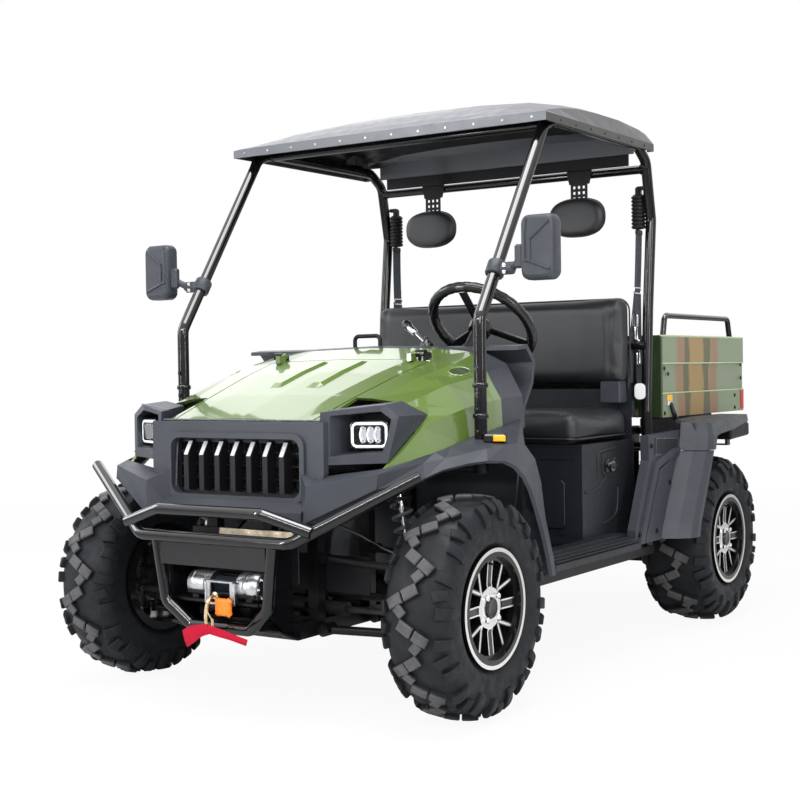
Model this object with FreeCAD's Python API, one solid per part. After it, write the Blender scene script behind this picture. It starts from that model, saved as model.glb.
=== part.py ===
import FreeCAD, Part
import math
import os

# Side by side utility vehicle. Millimetres. Front faces -Y, the driver's side is +X, +Z is up.
# Functions place things with the front axle at y = 0; save() moves the origin to mid length.

# Overall
wheelbase = 1800.0
front_overhang = 430.0
rear_overhang = 545.0
gap = 0.3
move_gap = 6.0

# Wheels and tyres
tyre_radius = 317.5
front_tyre_width = 205.0
rear_tyre_width = 255.0
front_track = 1240.0
rear_track = 1200.0
bead_radius = 152.0
flange_radius = 169.0
barrel_wall = 8.0
rim_inset = 14.0
hub_radius = 42.0
stub_radius = 22.0
bearing_fit = 0.05

# Steering
steer_drop = 6.0
kingpin_offset = 50.0
ball_height = 95.0
arm_length = 75.0
wheel_tilt_deg = 46.0
steering_wheel_radius = 172.0
steering_rim_radius = 14.0
steering_centre = (333.0, 600.0, 1128.0)

# Frame
rail_x = 190.0
rail_size = 40.0
rail_top = 265.0
deck_rail_top = 680.0
outrigger_z = (305.0, 335.0)

# Cab: everything from the bench back keeps its distance to the rear axle
rear_axle_y = wheelbase
cab_half_width = 548.0
bench_rear = rear_axle_y - 490
floor_z = 335.3
floor_wall = 8.0
seat_box_front = bench_rear - 425
seat_box_top = 722.0
side_tube_x = cab_half_width + 32

# Cage and roof
cage_x = cab_half_width + 32
cage_radius = 19.0
roof_half_width = cab_half_width + 82
roof_front = 500.0
roof_rear = bench_rear + 15
roof_edge_z = 1752.0
roof_rise = 120.0
roof_wall = 8.0

# Body shells
shell_wall = 10.0
fender_wall = 10.0
hood_front = -236.0
hood_hinge_y = 303.0
hood_gap = 6.0

# Load bed
bed_half_width = 600.0
bed_front = rear_axle_y - 370
bed_rear = rear_axle_y + 486
bed_floor_z = 795.0
bed_top_z = 1098.0
bed_wall = 24.0
bed_pivot_y = rear_axle_y + 320
bed_pivot_z = 712.0
pivot_radius = 15.0
gate_wall = 24.0

steer_z = tyre_radius - steer_drop
tie_rod_radius = 9.0
tie_rod_z = steer_z - 7 - 5 - tie_rod_radius
middle_y = (wheelbase + rear_overhang - front_overhang) / 2
axle_z = tyre_radius
front_wheel_x = front_track / 2
rear_wheel_x = rear_track / 2
kingpin_x = front_wheel_x - kingpin_offset
rear_carrier_x = rear_wheel_x - 60


def V(x, y, z):
    return FreeCAD.Vector(x, y, z)


def solids_of(shapes):
    found = []
    for shape in shapes:
        found.extend(shape.Solids)
    return found


def save(node, *shapes):
    """Write one node; its solids move so that y = 0 is the middle of the length."""
    solids = solids_of(shapes)
    shape = solids[0] if len(solids) == 1 else Part.makeCompound(solids)
    placed = shape.copy()
    placed.translate(V(0, -middle_y, 0))
    placed.exportStep("parts/%s.step" % node)
    box = placed.BoundBox
    print(node, len(solids), "valid" if shape.isValid() else "INVALID",
          [round(v) for v in (box.XMin, box.XMax, box.YMin, box.YMax, box.ZMin, box.ZMax)])


def mirrored(shape):
    return shape.mirror(V(0, 0, 0), V(1, 0, 0))


def pair(shape):
    return [shape, mirrored(shape)]


def joined(shapes):
    """One body from touching shapes, with flat faces in one plane merged."""
    return shapes[0].fuse(list(shapes[1:])).removeSplitter()


def block(x, y, z):
    return Part.makeBox(x[1] - x[0], y[1] - y[0], z[1] - z[0], V(x[0], y[0], z[0]))


def rod(start, end, radius):
    line = V(*end).sub(V(*start))
    return Part.makeCylinder(radius, line.Length, V(*start), line)


def bent_bar(points, radius, bend):
    """Round bar along straight runs joined by tangent arcs of one bend radius."""
    corners = [V(*p) for p in points]
    edges = []
    here = corners[0]
    for before, corner, after in zip(corners, corners[1:], corners[2:]):
        back = before.sub(corner).normalize()
        ahead = after.sub(corner).normalize()
        half_turn = (math.pi - back.getAngle(ahead)) / 2
        start = corner + back * (bend * math.tan(half_turn))
        end = corner + ahead * (bend * math.tan(half_turn))
        inward = (back + ahead).normalize()
        middle = corner + inward * (bend / math.cos(half_turn) - bend)
        edges.append(Part.LineSegment(here, start).toShape())
        edges.append(Part.Arc(start, middle, end).toShape())
        here = end
    edges.append(Part.LineSegment(here, corners[-1]).toShape())
    profile = Part.Wire(Part.makeCircle(radius, corners[0], corners[1].sub(corners[0])))
    return Part.Wire(edges).makePipeShell([profile], True, True)


def prism_x(profile, x_low, x_high):
    """Outline in (y, z) carried from x_low to x_high."""
    points = [V(x_low, y, z) for y, z in profile]
    face = Part.Face(Part.makePolygon(points + points[:1]))
    return face.extrude(V(x_high - x_low, 0, 0))


def prism_y(profile, y_low, y_high):
    """Outline in (x, z) carried from y_low to y_high."""
    points = [V(x, y_low, z) for x, z in profile]
    face = Part.Face(Part.makePolygon(points + points[:1]))
    return face.extrude(V(0, y_high - y_low, 0))


def prism_z(profile, z_low, z_high):
    """Outline in (x, y) carried from z_low to z_high."""
    points = [V(x, y, z_low) for x, y in profile]
    face = Part.Face(Part.makePolygon(points + points[:1]))
    return face.extrude(V(0, 0, z_high - z_low))


def patch(points):
    """Flat face through the points, or a fan of triangles where they aren't in one plane."""
    normal = (points[1] - points[0]).cross(points[2] - points[0])
    flat = all(abs((p - points[0]).dot(normal)) < 1e-6 * max(1.0, normal.Length) for p in points)
    if flat:
        return [Part.Face(Part.makePolygon(points + points[:1]))]
    fans = [[points[0], points[k], points[k + 1]] for k in range(1, len(points) - 1)]
    return [Part.Face(Part.makePolygon(fan + fan[:1])) for fan in fans]


def skin(sections, inner_wall=None):
    """Faceted solid through outlines of like point counts, whose ends needn't be flat.

    From side inner_wall on, the facets split the other way, so both faces of a thin wall fold alike.
    """
    rings = [[V(*p) for p in section] for section in sections]
    faces = patch(rings[0]) + patch(rings[-1])
    for low, high in zip(rings, rings[1:]):
        for k in range(len(low)):
            n = (k + 1) % len(low)
            if inner_wall is not None and k >= inner_wall:
                faces += patch([low[n], high[n], high[k], low[k]])
            else:
                faces += patch([low[k], low[n], high[n], high[k]])
    shell = Part.Shell(faces)
    shell.sewShape()
    solid = Part.Solid(shell)
    if solid.Volume < 0:
        solid.reverse()
    return solid


def rounded(shape, radius, pick):
    """Round the edges that pick() accepts."""
    return shape.makeFillet(radius, [edge for edge in shape.Edges if pick(edge)])


def revolve_x(profile):
    """Outline in (x, radius) turned about the X axis."""
    points = [V(x, 0, r) for x, r in profile]
    face = Part.Face(Part.makePolygon(points + points[:1]))
    return face.revolve(V(0, 0, 0), V(1, 0, 0), 360)


def at_wheel(shape, x, y):
    moved = shape.copy()
    moved.translate(V(x, y, axle_z))
    return moved


# Wheels

tread_pitches = 20
lug_height = 14.0
lug_width = 34.0


def ring_solid(profile, facets):
    """Closed outline in (x, radius) carried round the X axis in flat facets."""
    rings = []
    for number in range(facets):
        angle = 2 * math.pi * (number + 0.5) / facets
        rings.append([V(x, r * math.cos(angle), r * math.sin(angle)) for x, r in profile])
    faces = []
    for low, high in zip(rings, rings[1:] + rings[:1]):
        for k in range(len(low)):
            n = (k + 1) % len(low)
            faces += patch([low[k], low[n], high[n], high[k]])
    shell = Part.Shell(faces)
    shell.sewShape()
    solid = Part.Solid(shell)
    if solid.Volume < 0:
        solid.reverse()
    return solid


def tyre(width):
    """Carcass with bulged side walls, long and short lugs over both shoulders, and slanted crown bars."""
    half = width / 2
    crown = tyre_radius - lug_height
    bead = (bead_radius + gap) / math.cos(math.pi / tread_pitches)
    left = [(-half + 20, bead), (-half + 1, 228), (-half + 28, crown - 10)]
    carcass = ring_solid(left + [(-x, r) for x, r in reversed(left)], tread_pitches)
    long_lug = [(half * 0.5, crown - 20), (half * 0.5, tyre_radius), (half - 22, tyre_radius), (half, tyre_radius - 46)]
    short_lug = [(half * 0.64, crown - 20), (half * 0.64, tyre_radius - 1), (half - 24, tyre_radius - 1),
                 (half - 4, tyre_radius - 32)]
    lugs = []
    for number in range(tread_pitches):
        angle = 360.0 * number / tread_pitches
        for side in (-1, 1):
            odd = (number + (side > 0)) % 2
            outline = [(side * x, z) for x, z in (short_lug if odd else long_lug)]
            lug = prism_y(outline, -lug_width / 2, lug_width / 2)
            lug.rotate(V(0, 0, 0), V(1, 0, 0), angle + 180)
            lugs.append(lug)
        if number % 2:
            bar = block((-half * 0.42, half * 0.42), (-14, 14), (crown - 16, tyre_radius - 1.5))
            bar.rotate(V(0, 0, 0), V(0, 0, 1), 28)
            bar.rotate(V(0, 0, 0), V(1, 0, 0), angle + 180 + 180.0 / tread_pitches)
            lugs.append(bar)
    return joined([carcass] + lugs)


def rim(width):
    """Barrel with lips and a disc of four main spokes, with a forked pair of thin spokes between them."""
    half = width / 2 - rim_inset
    inner = bead_radius - gap - barrel_wall
    outer = bead_radius - gap
    barrel = revolve_x([(-half - 8, inner), (-half - 8, flange_radius), (-half, flange_radius), (-half, outer),
                        (half, outer), (half, flange_radius), (half + 8, flange_radius), (half + 8, inner)])
    disc = revolve_x([(half - 34, 0), (half - 34, hub_radius), (half - 30, inner + 2),
                      (half - 8, inner + 2), (half - 14, 70), (half - 12, 58), (half - 12, 0)])
    beside = [(57, 14), (132, 14), (128, 36), (117, 60), (48, 37)]
    between = [(54, 54), (113, 73), (94, 94), (73, 113)]
    for turn in (0, 90, 180, 270):
        for outline in (beside, [(z, y) for y, z in beside], between):
            window = prism_x(outline, half - 60, half + 20)
            window.rotate(V(0, 0, 0), V(1, 0, 0), turn)
            disc = disc.cut(window)
    return joined([barrel, disc])


def hub(width, inboard):
    """Flange behind the disc and the stub shaft that runs in the bearing, as far as inboard."""
    half = width / 2 - rim_inset
    flange = revolve_x([(half - 60, 0), (half - 60, 62), (half - 46, 62), (half - 46, hub_radius),
                        (half - 34, hub_radius), (half - 34, 0)])
    shaft = revolve_x([(inboard, 0), (inboard, stub_radius), (half - 60, stub_radius), (half - 60, 0)])
    return joined([flange, shaft])


def wheel_rim(width, inboard):
    return joined([rim(width), hub(width, inboard)])


def knuckle_left():
    """Upright on the kingpin line: bearing ring, ball joint pins and the steering arm."""
    x = kingpin_x
    ring = rod((x - 22, 0, axle_z), (x + 34, 0, axle_z), 48)
    bore = rod((x - 60, 0, axle_z), (x + 60, 0, axle_z), stub_radius + bearing_fit)
    web = prism_y([(x - 18, axle_z - 70), (x + 14, axle_z - 70), (x + 18, axle_z), (x + 14, axle_z + 70),
                   (x - 18, axle_z + 70)], -20, 20)
    pins = rod((x, 0, axle_z - ball_height - 12), (x, 0, axle_z - 60), 9)
    top_pin = rod((x, 0, axle_z + 60), (x, 0, axle_z + ball_height + 12), 9)
    arm = prism_z([(x - 16, -10), (x + 14, -10), (x + 4, -arm_length - 14), (x - 18, -arm_length - 14)],
                  steer_z - 7, steer_z + 7)
    return joined([ring, web, pins, top_pin, arm]).cut(bore)


def steering_rack():
    """Rack bar with a tie rod on each side; its eyes lie under the knuckle arms."""
    rod_z = tie_rod_z
    y = -arm_length
    bar = rod((-(kingpin_x - 8), y, rod_z), (kingpin_x - 8, y, rod_z), 9)
    eyes = [rod((s * (kingpin_x - 8), y, rod_z - 9), (s * (kingpin_x - 8), y, rod_z + 9), 14) for s in (-1, 1)]
    boots = [rod((s * 180, y, rod_z), (s * 262, y, rod_z), 20) for s in (-1, 1)]
    return joined([bar] + eyes + boots)


def rack_housing_solid():
    rod_z = tie_rod_z
    y = -arm_length
    housing = rod((-120, y, rod_z), (120, y, rod_z), 24)
    feet = [block((s * 80 - 15, s * 80 + 15), (y - 14, y + 14), (rail_top - 6 + gap, rod_z - 15))
            for s in (-1, 1)]
    bore = rod((-130, y, rod_z), (130, y, rod_z), tie_rod_radius + bearing_fit)
    return joined([housing] + feet).cut(bore)


def steering_axis():
    tilt = math.radians(wheel_tilt_deg)
    return V(0, math.cos(tilt), math.sin(tilt))


def along_column(distance):
    """Point on the steering axis, measured down the column from the wheel's centre."""
    point = V(*steering_centre).sub(steering_axis() * distance)
    return (point.x, point.y, point.z)


column_near = 42.0
column_far = 190.0
column_radius = 24.0


def steering_wheel():
    centre = V(*steering_centre)
    axis = steering_axis()
    ring = Part.makeTorus(steering_wheel_radius, steering_rim_radius, centre, axis)
    boss = Part.makeCylinder(38, 34, V(*along_column(36)), axis)
    shaft = Part.makeCylinder(9, 100, V(*along_column(130)), axis)
    spokes = []
    for degrees in (30, 150, 270):
        spoke = Part.makeBox(steering_wheel_radius - 4, 30, 7, V(0, -15, -12))
        spoke.rotate(V(0, 0, 0), V(0, 0, 1), degrees)
        spoke.rotate(V(0, 0, 0), V(1, 0, 0), -(90 - wheel_tilt_deg))
        spoke.translate(centre)
        spokes.append(spoke)
    return joined([ring, boss, shaft] + spokes)


def steering_column():
    axis = steering_axis()
    tube = Part.makeCylinder(column_radius, column_far - column_near, V(*along_column(column_far)), axis)
    bore = Part.makeCylinder(9 + bearing_fit, column_far, V(*along_column(column_far - 40)), axis)
    return tube.cut(bore)


# Chassis

def main_frame():
    half = rail_size / 2
    rail_front = -232.0
    rail_rear = rear_axle_y + 290.0
    deck_front = -196.0
    deck_low = deck_rail_top - rail_size
    rail = block((rail_x - half, rail_x + half), (rail_front, rail_rear), (rail_top - rail_size, rail_top))
    front_deck = block((rail_x - half, rail_x + half), (deck_front, 385), (deck_low, deck_rail_top))
    rear_deck = block((rail_x - half, rail_x + half), (bench_rear, rail_rear), (deck_low, deck_rail_top))
    posts = []
    for y in (-130, 130, 365, bench_rear + 20, rear_axle_y - 130, rear_axle_y + 130):
        posts.append(block((rail_x - half + 2, rail_x + half - 2), (y - 17, y + 17), (rail_top, deck_low)))
    side_tube = block((side_tube_x - 18, side_tube_x + 18), (470, bench_rear + 55), outrigger_z)
    side = joined([rail, front_deck, rear_deck, side_tube] + posts)
    across = []
    for y in (486, 760, bench_rear - 210, bench_rear + 38):
        for s in (-1, 1):
            across.append(block(sorted((s * (rail_x - half), s * side_tube_x)), (y - 16, y + 16), outrigger_z))
            across.append(block((s * rail_x - half, s * rail_x + half), (y - 14, y + 14),
                                (rail_top, outrigger_z[0])))
    gear_cases = [(0, axle_z - front_case_radius - gap), (rear_axle_y, axle_z - rear_case_radius - gap)]
    for y, top in engine_mounts() + gear_cases:
        across.append(block((-rail_x, rail_x), (y - 14, y + 14), (rail_top - 38, rail_top - 18)))
        across.append(block((-40, 40), (y - 14, y + 14), (rail_top - 30, top)))
    for y in (rail_front + 16, -arm_length, 330, rear_axle_y + 240):
        across.append(block((-rail_x, rail_x), (y - 14, y + 14), (rail_top - 34, rail_top - 6)))
    for y in (-180, 368, bench_rear + 16, rear_axle_y + 240):
        across.append(block((-rail_x, rail_x), (y - 14, y + 14), (deck_low + 6, deck_rail_top - 6)))
    towers = []
    for y in (0, rear_axle_y):
        reach = shock_foot_x(y) - shock_lean
        towers.append(rod((-reach, y + shock_y, tower_z), (reach, y + shock_y, tower_z), 16))
    foot_y = post_bend[0]
    outrigger = rod((-cage_x, foot_y, deck_rail_top + 14), (cage_x, foot_y, deck_rail_top + 14), 16)
    pads = rod((-cage_x, foot_y, deck_rail_top), (-cage_x, foot_y, deck_rail_top + 30), 22)
    pivot = rod((-262, bed_pivot_y, bed_pivot_z), (262, bed_pivot_y, bed_pivot_z), pivot_radius)
    lugs = [prism_x([(bed_pivot_y - 60, deck_rail_top - 2), (bed_pivot_y - 60, rail_top_of_lug()),
                     (bed_pivot_y + 18, rail_top_of_lug()), (bed_pivot_y + 18, deck_rail_top - 30),
                     (rail_rear - 20, deck_low)], s * rail_x - 12, s * rail_x + 12) for s in (-1, 1)]
    return joined([side, mirrored(side), outrigger, pads, mirrored(pads), pivot] + across + towers + lugs)


bush_spread = 130.0
shock_y = 48.0
shock_lean = 88.0
shock_seat = 22.0
tower_z = deck_rail_top - 20
front_case_radius = 48.0
rear_case_radius = 70.0
prop_z = 304.0
engine_y = (rear_axle_y - 610, rear_axle_y - 160)
engine_z = (285.0, 625.0)


def shock_foot_x(y_axle):
    """Distance of a damper's foot from the middle: as far inside its wheel as the springs need."""
    return front_wheel_x - 190 if y_axle == 0 else rear_wheel_x - 170


def engine_mounts():
    return [(engine_y[0] + 60, engine_z[0] - gap), (engine_y[1] - 80, engine_z[0] - gap)]


def rail_top_of_lug():
    return bed_pivot_z + pivot_radius + 6


def lower_arm(y_axle, ball_x):
    """A-arm from two bushes on the rail to the ball joint's eye, with the shock's seat."""
    bush_x = rail_x + rail_size / 2 + gap + 18
    eye_z = axle_z - ball_height
    parts = [rod((ball_x, y_axle, eye_z - 16), (ball_x, y_axle, eye_z + 16), 20)]
    for s in (-1, 1):
        bush_y = y_axle + s * bush_spread
        parts.append(rod((bush_x, bush_y - 26, eye_z + 14), (bush_x, bush_y + 26, eye_z + 14), 18))
        parts.append(rod((bush_x, bush_y, eye_z + 14), (ball_x, y_axle, eye_z), 13))
    seat_x = shock_foot_x(y_axle)
    parts.append(block((seat_x - 24, seat_x + 24), (y_axle - 58, y_axle + 76), (eye_z - 5, eye_z + shock_seat)))
    return joined(parts)


front_elbows = ((92, 50, 4), (136, 92, 12))
rear_elbows = ((60, 66, 5), (104, 100, 12))


def upper_arm(y_axle, ball_x, elbows):
    bush_x = rail_x + rail_size / 2 - 2 + gap + 15
    eye_z = axle_z + ball_height
    parts = [rod((ball_x, y_axle, eye_z - 16), (ball_x, y_axle, eye_z + 16), 20)]
    for s in (-1, 1):
        bush_y = y_axle + s * bush_spread
        parts.append(rod((bush_x, bush_y - 15, eye_z + 30), (bush_x, bush_y + 15, eye_z + 30), 15))
        route = [(ball_x, y_axle + s * 8, eye_z)]
        route += [(ball_x - dx, y_axle + s * dy, eye_z + dz) for dx, dy, dz in elbows]
        route.append((bush_x, bush_y, eye_z + 30))
        parts.append(bent_bar(route, 10, 24))
    return joined(parts)


def pin_holes(ball_x):
    return rod((ball_x, 0, 0), (ball_x, 0, axle_z * 2), 9 + bearing_fit)


def shock(y_axle):
    """Damper with its spring, from the lower arm's seat to the frame's tower."""
    y = y_axle + shock_y
    foot_x = shock_foot_x(y_axle)
    foot = (foot_x, y, axle_z - ball_height + shock_seat + gap + 15)
    head = (foot_x - shock_lean + gap + 16, y, tower_z)
    line = V(*head).sub(V(*foot))
    point = lambda share: tuple(V(*foot) + line * share)
    parts = [rod((foot[0], y - 16, foot[2]), (foot[0], y + 16, foot[2]), 15),
             rod((head[0] , y - 16, head[2]), (head[0], y + 16, head[2]), 16),
             rod(point(0.0), point(1.0), 9), rod(point(0.08), point(0.55), 20)]
    for turn in range(9):
        low = 0.14 + turn * 0.085
        parts.append(rod(point(low), point(low + 0.035), 29))
    return joined(parts)


def rear_hub_carrier(side_x):
    """Fixed upright that joins the rear arms and holds the wheel's bearing."""
    x = side_x
    ring = rod((x - 34, rear_axle_y, axle_z), (x + 22, rear_axle_y, axle_z), 48)
    web = block((x - 22, x + 10), (rear_axle_y - 22, rear_axle_y + 22),
                (axle_z - ball_height - 16, axle_z + ball_height + 16))
    bore = rod((x - 60, rear_axle_y, axle_z), (x + 60, rear_axle_y, axle_z), stub_radius + bearing_fit)
    return joined([ring, web]).cut(bore)


def suspension_arms():
    front = joined([lower_arm(0, kingpin_x)]).cut(pin_holes(kingpin_x))
    front_top = upper_arm(0, kingpin_x, front_elbows).cut(pin_holes(kingpin_x))
    rear = joined([lower_arm(rear_axle_y, rear_carrier_x), upper_arm(rear_axle_y, rear_carrier_x, rear_elbows),
                   rear_hub_carrier(rear_carrier_x)])
    return pair(front) + pair(front_top) + pair(rear)


def driveline():
    """Front and rear gear cases with a half shaft to each wheel, and the shaft between them."""
    front_case = joined([rod((-85, 0, axle_z), (85, 0, axle_z), front_case_radius),
                         rod((0, 0, prop_z), (0, 130, prop_z), 32)])
    rear_case = joined([rod((-95, rear_axle_y, axle_z), (95, rear_axle_y, axle_z), rear_case_radius),
                        rod((0, rear_axle_y, axle_z), (0, engine_y[1] + gap, axle_z), 42)])
    prop = rod((0, 90, prop_z), (0, engine_y[0] - gap, prop_z), 14)
    parts = [joined([front_case, prop])]
    for y, reach in ((0, kingpin_x - 62), (rear_axle_y, rear_carrier_x - 42)):
        for s in (-1, 1):
            start = 85 if y == 0 else 95
            shaft = rod((s * (start + gap), y, axle_z), (s * reach, y, axle_z), 12)
            inner = Part.makeCone(38, 20, 60, V(s * (start + gap), y, axle_z), V(s, 0, 0))
            outer = Part.makeCone(20, 38, 50, V(s * (reach - 50), y, axle_z), V(s, 0, 0))
            parts.append(joined([shaft, inner, outer]))
    return parts + [rear_case]


def engine():
    return block((-150, 150), engine_y, engine_z)


def muffler():
    y = rear_axle_y + 185
    can = rod((-20, y, 560), (130, y, 560), 62)
    stub = rod((40, y, 598), (40, y + 155, 598), 18)
    hanger = block((70, 100), (y + 40, y + 60), (560, deck_rail_top - rail_size + 6 - gap))
    return joined([can, stub, hanger])


def skid_plate():
    low = rail_top - rail_size - gap
    profile = [(-319, 258), (-238, low), (430, low), (430, low - 5), (-240, low - 5), (-319, 252)]
    return prism_x(profile, -205, 205)


def radiator():
    return block((-165, 165), (-216, -194 - gap), (585, 800))


# Front end

def bezel_core(front, back, side):
    """Tapered block through a front and a back outline of the lamp hood."""
    return skin([[(side * x, y, z) for x, y, z in front], [(side * x, y, z) for x, y, z in back]])


def fascia():
    """Grille surround, side wings and lamp hoods as one moulding with wall thickness."""
    panel = prism_y([(-322, 842), (322, 842), (322, 700), (292, 560), (-292, 560), (-322, 700)], -262, -240)
    lip = prism_x([(-262, 560), (-300, 566), (-300, 590), (-262, 622)], -268, 268)
    opening = block((-242, 242), (-330, -200), (628, 794))
    opening = rounded(opening, 30, lambda e: abs(e.BoundBox.YLength - 130) < 1)
    bead = block((-258, 258), (-270, -262), (612, 810))
    bead = rounded(bead, 40, lambda e: abs(e.BoundBox.YLength - 8) < 1)
    wing = skin([[(240, -264, 566), (240, -264, 702), (240, -240, 706), (240, -240, 566)],
                 [(296, -322, 566), (300, -317, 667), (300, -240, 690), (296, -240, 566)],
                 [(490, -249, 661), (492, -244, 702), (492, -200, 716), (490, -200, 661)]])
    wing_core = skin([[(304, -304, 578), (304, -300, 655), (304, -230, 672), (304, -230, 578)],
                      [(480, -237, 668), (480, -233, 692), (480, -190, 704), (480, -190, 668)]])
    front = [(300, -252, 722), (480, -178, 728), (503, -154, 857), (462, -160, 889), (300, -246, 870)]
    back = [(334, -150, 735), (470, -150, 745), (502, -2, 856), (452, -62, 897), (334, -110, 884)]
    core_front = [(318, -300, 738), (470, -250, 742), (490, -240, 853), (456, -240, 876), (318, -280, 861)]
    core_back = [(342, -118, 762), (458, -110, 770), (478, -92, 846), (446, -92, 866), (342, -112, 856)]
    side = wing.cut(wing_core).fuse([bezel_core(front, back, 1).cut(bezel_core(core_front, core_back, 1))])
    whole = joined([panel, lip, bead, side, mirrored(side)]).cut(opening)
    arms = []
    for s in (-1, 1):
        arms.append(block(sorted((s * 264, s * 284)), (-244, -206), (646, 674)))
        arms.append(block(sorted((s * 190, s * 284)), (-218, -196 - gap), (646, 674)))
    return joined([whole] + arms)


def grille():
    """Seven upright bars with chamfered heads in a thin back frame."""
    bars = []
    bar_count = 7
    pitch = 60.0
    for number in range(bar_count):
        x = (number - (bar_count - 1) / 2) * pitch
        bars.append(prism_x([(-272, 640), (-272, 745), (-246, 788), (-232, 788), (-232, 636)], x - 9, x + 9))
    outer = block((-256, 256), (-240 + gap, -228), (618, 804))
    window = block((-228, 228), (-250, -200), (642, 780))
    rails = [block((-240, 240), (-238, -230), (z - 3, z + 3)) for z in (676, 714, 752)]
    return joined([outer.cut(window)] + bars + rails)


def headlights(shell):
    """Lamp bodies seated on the floor of each lamp hood's recess, with their faces near its mouth."""
    case = skin([[(358, -200, 764), (476, -150, 766), (476, -149, 846), (358, -200, 846)],
                 [(352, -108, 772), (452, -100, 778), (462, -86, 842), (352, -100, 844)]])
    seated = max(case.cut(shell).Solids, key=lambda solid: solid.Volume)
    return pair(seated)


def front_bumper():
    """Two bull bars that meet at each side, the winch hoop below and its face plate."""
    r = 17.5
    tip = (611, -212, 697)
    corner = (279, -367, 512)
    lower = bent_bar([tip, corner, (-corner[0], corner[1], corner[2]), (-tip[0], tip[1], tip[2])], r, 60)
    upper = bent_bar([(345, -352, 545), (191, -380, 592), (-191, -380, 592), (-345, -352, 545)], r, 50)
    hoop = bent_bar([(216, -362, 505), (190, -355, 322), (112, -338, 256), (-112, -338, 256),
                     (-190, -355, 322), (-216, -362, 505)], r, 38)
    plate = block((-196, 196), (-372, -366), (432, 500))
    legs = [prism_x([(-232 - gap, 236), (-262, 236), (-345, 300), (-345, 440), (-372, 440), (-372, 500),
                     (-232 - gap, 500)], s * 178 - 5, s * 178 + 5) for s in (-1, 1)]
    return joined([lower, upper, hoop, plate] + legs)


def winch():
    """Motor and gear case with the drum between them on a tray, and the roller fairlead in front."""
    y = -300.0
    z = 372.0
    motor = rod((-130, y, z), (-40, y, z), 38)
    gears = rod((60, y, z), (140, y, z), 42)
    drum = rod((-40, y, z), (60, y, z), 26)
    tray = block((-138, 138), (-336, -262), (322, 332))
    feet = [block((s * 100 - 12, s * 100 + 12), (-330, -270), (332, 345)) for s in (-1, 1)]
    arms = [block(sorted((s * 130, s * (173 - gap))), (-330, -262), (322, 332)) for s in (-1, 1)]
    fairlead = block((-46, 66), (-352, -336), (322, 392))
    return joined([motor, gears, drum, tray, fairlead] + feet + arms)


def winch_hook():
    """Forged hook hanging before the fairlead with its short pull strap."""
    x = 10.0
    shank = rod((x, -352 - gap, 348), (x, -392, 348), 7)
    eye = Part.makeTorus(20, 6, V(x, -400, 330), V(1, 0, 0))
    strap = [prism_y([(x - 12, 316), (x + 12, 316), (x + s * 80 + 12, 250), (x + s * 80 - 16, 244)], -404, -396)
             for s in (-1, 1)]
    return shank.fuse([eye] + strap)


fender_inner_x = cab_half_width + 5 + gap

# Front fender from the nose to the sill: lip, crease and inner edge, and the way the wall goes from each.
front_fender_stations = [
    ((492.3, -249, 661), (492.3, -244, 702), (492.3, -200, 716), (0, 1.4, -0.9)),
    ((550, -98, 683), (530, -75, 722), (521, -84, 736), (-0.4, 0.9, -0.5)),
    ((583, -55, 704), (565, -11, 733), (535, -20, 750), (-0.6, 0.7, -0.7)),
    ((640, -9, 721), (612, 28, 746), (543, 50, 762), (-0.7, 0.5, -0.8)),
    ((682, 22, 727), (655, 66, 759), (549, 100, 775), (-0.9, 0.2, -0.8)),
    ((700, 95, 722), (682, 125, 766), (fender_inner_x, 170, 786), (-1.0, -0.2, -0.6)),
    ((705, 145, 705), (685, 190, 768), (fender_inner_x, 260, 798), (-1.0, -0.2, -0.6)),
    ((705, 197, 672), (685, 235, 762), (fender_inner_x, 455, 826), (-1.0, -0.2, -0.6)),
    ((700, 250, 624), (685, 298, 715), (fender_inner_x, 462, 749), (-1.0, -0.6, -0.2)),
    ((695, 293, 564), (680, 343, 643), (fender_inner_x, 465, 660), (-1.0, -0.6, -0.2)),
    ((685, 348, 492), (675, 377, 534), (fender_inner_x, 468, 550), (-1.0, -0.6, -0.1)),
    ((670, 412, 404), (670, 437, 405), (fender_inner_x, 470, 420), (-1.0, -0.7, 0)),
    ((660, 449, 345), (660, 470, 345), (fender_inner_x, 474, 345), (-1.0, -0.7, 0)),
]


def front_fenders():
    """Swept fender behind and above the front wheel, open underneath, with a uniform wall."""
    sections = []
    for number, (lip, crease, inner, way) in enumerate(front_fender_stations):
        inward = [fender_wall * share for share in way]
        down = (0, 0, -fender_wall) if number < 8 else (0, -fender_wall, 0)
        shifted = [tuple(a + b for a, b in zip(point, shift))
                   for point, shift in ((inner, down), (crease, inward), (lip, inward))]
        sections.append([lip, crease, inner] + shifted)
    post = rod((cage_x, post_bend[0], deck_rail_top), (cage_x, post_bend[0], deck_rail_top + 300), cage_radius + gap)
    return pair(skin(sections, 3).cut(post))


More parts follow.
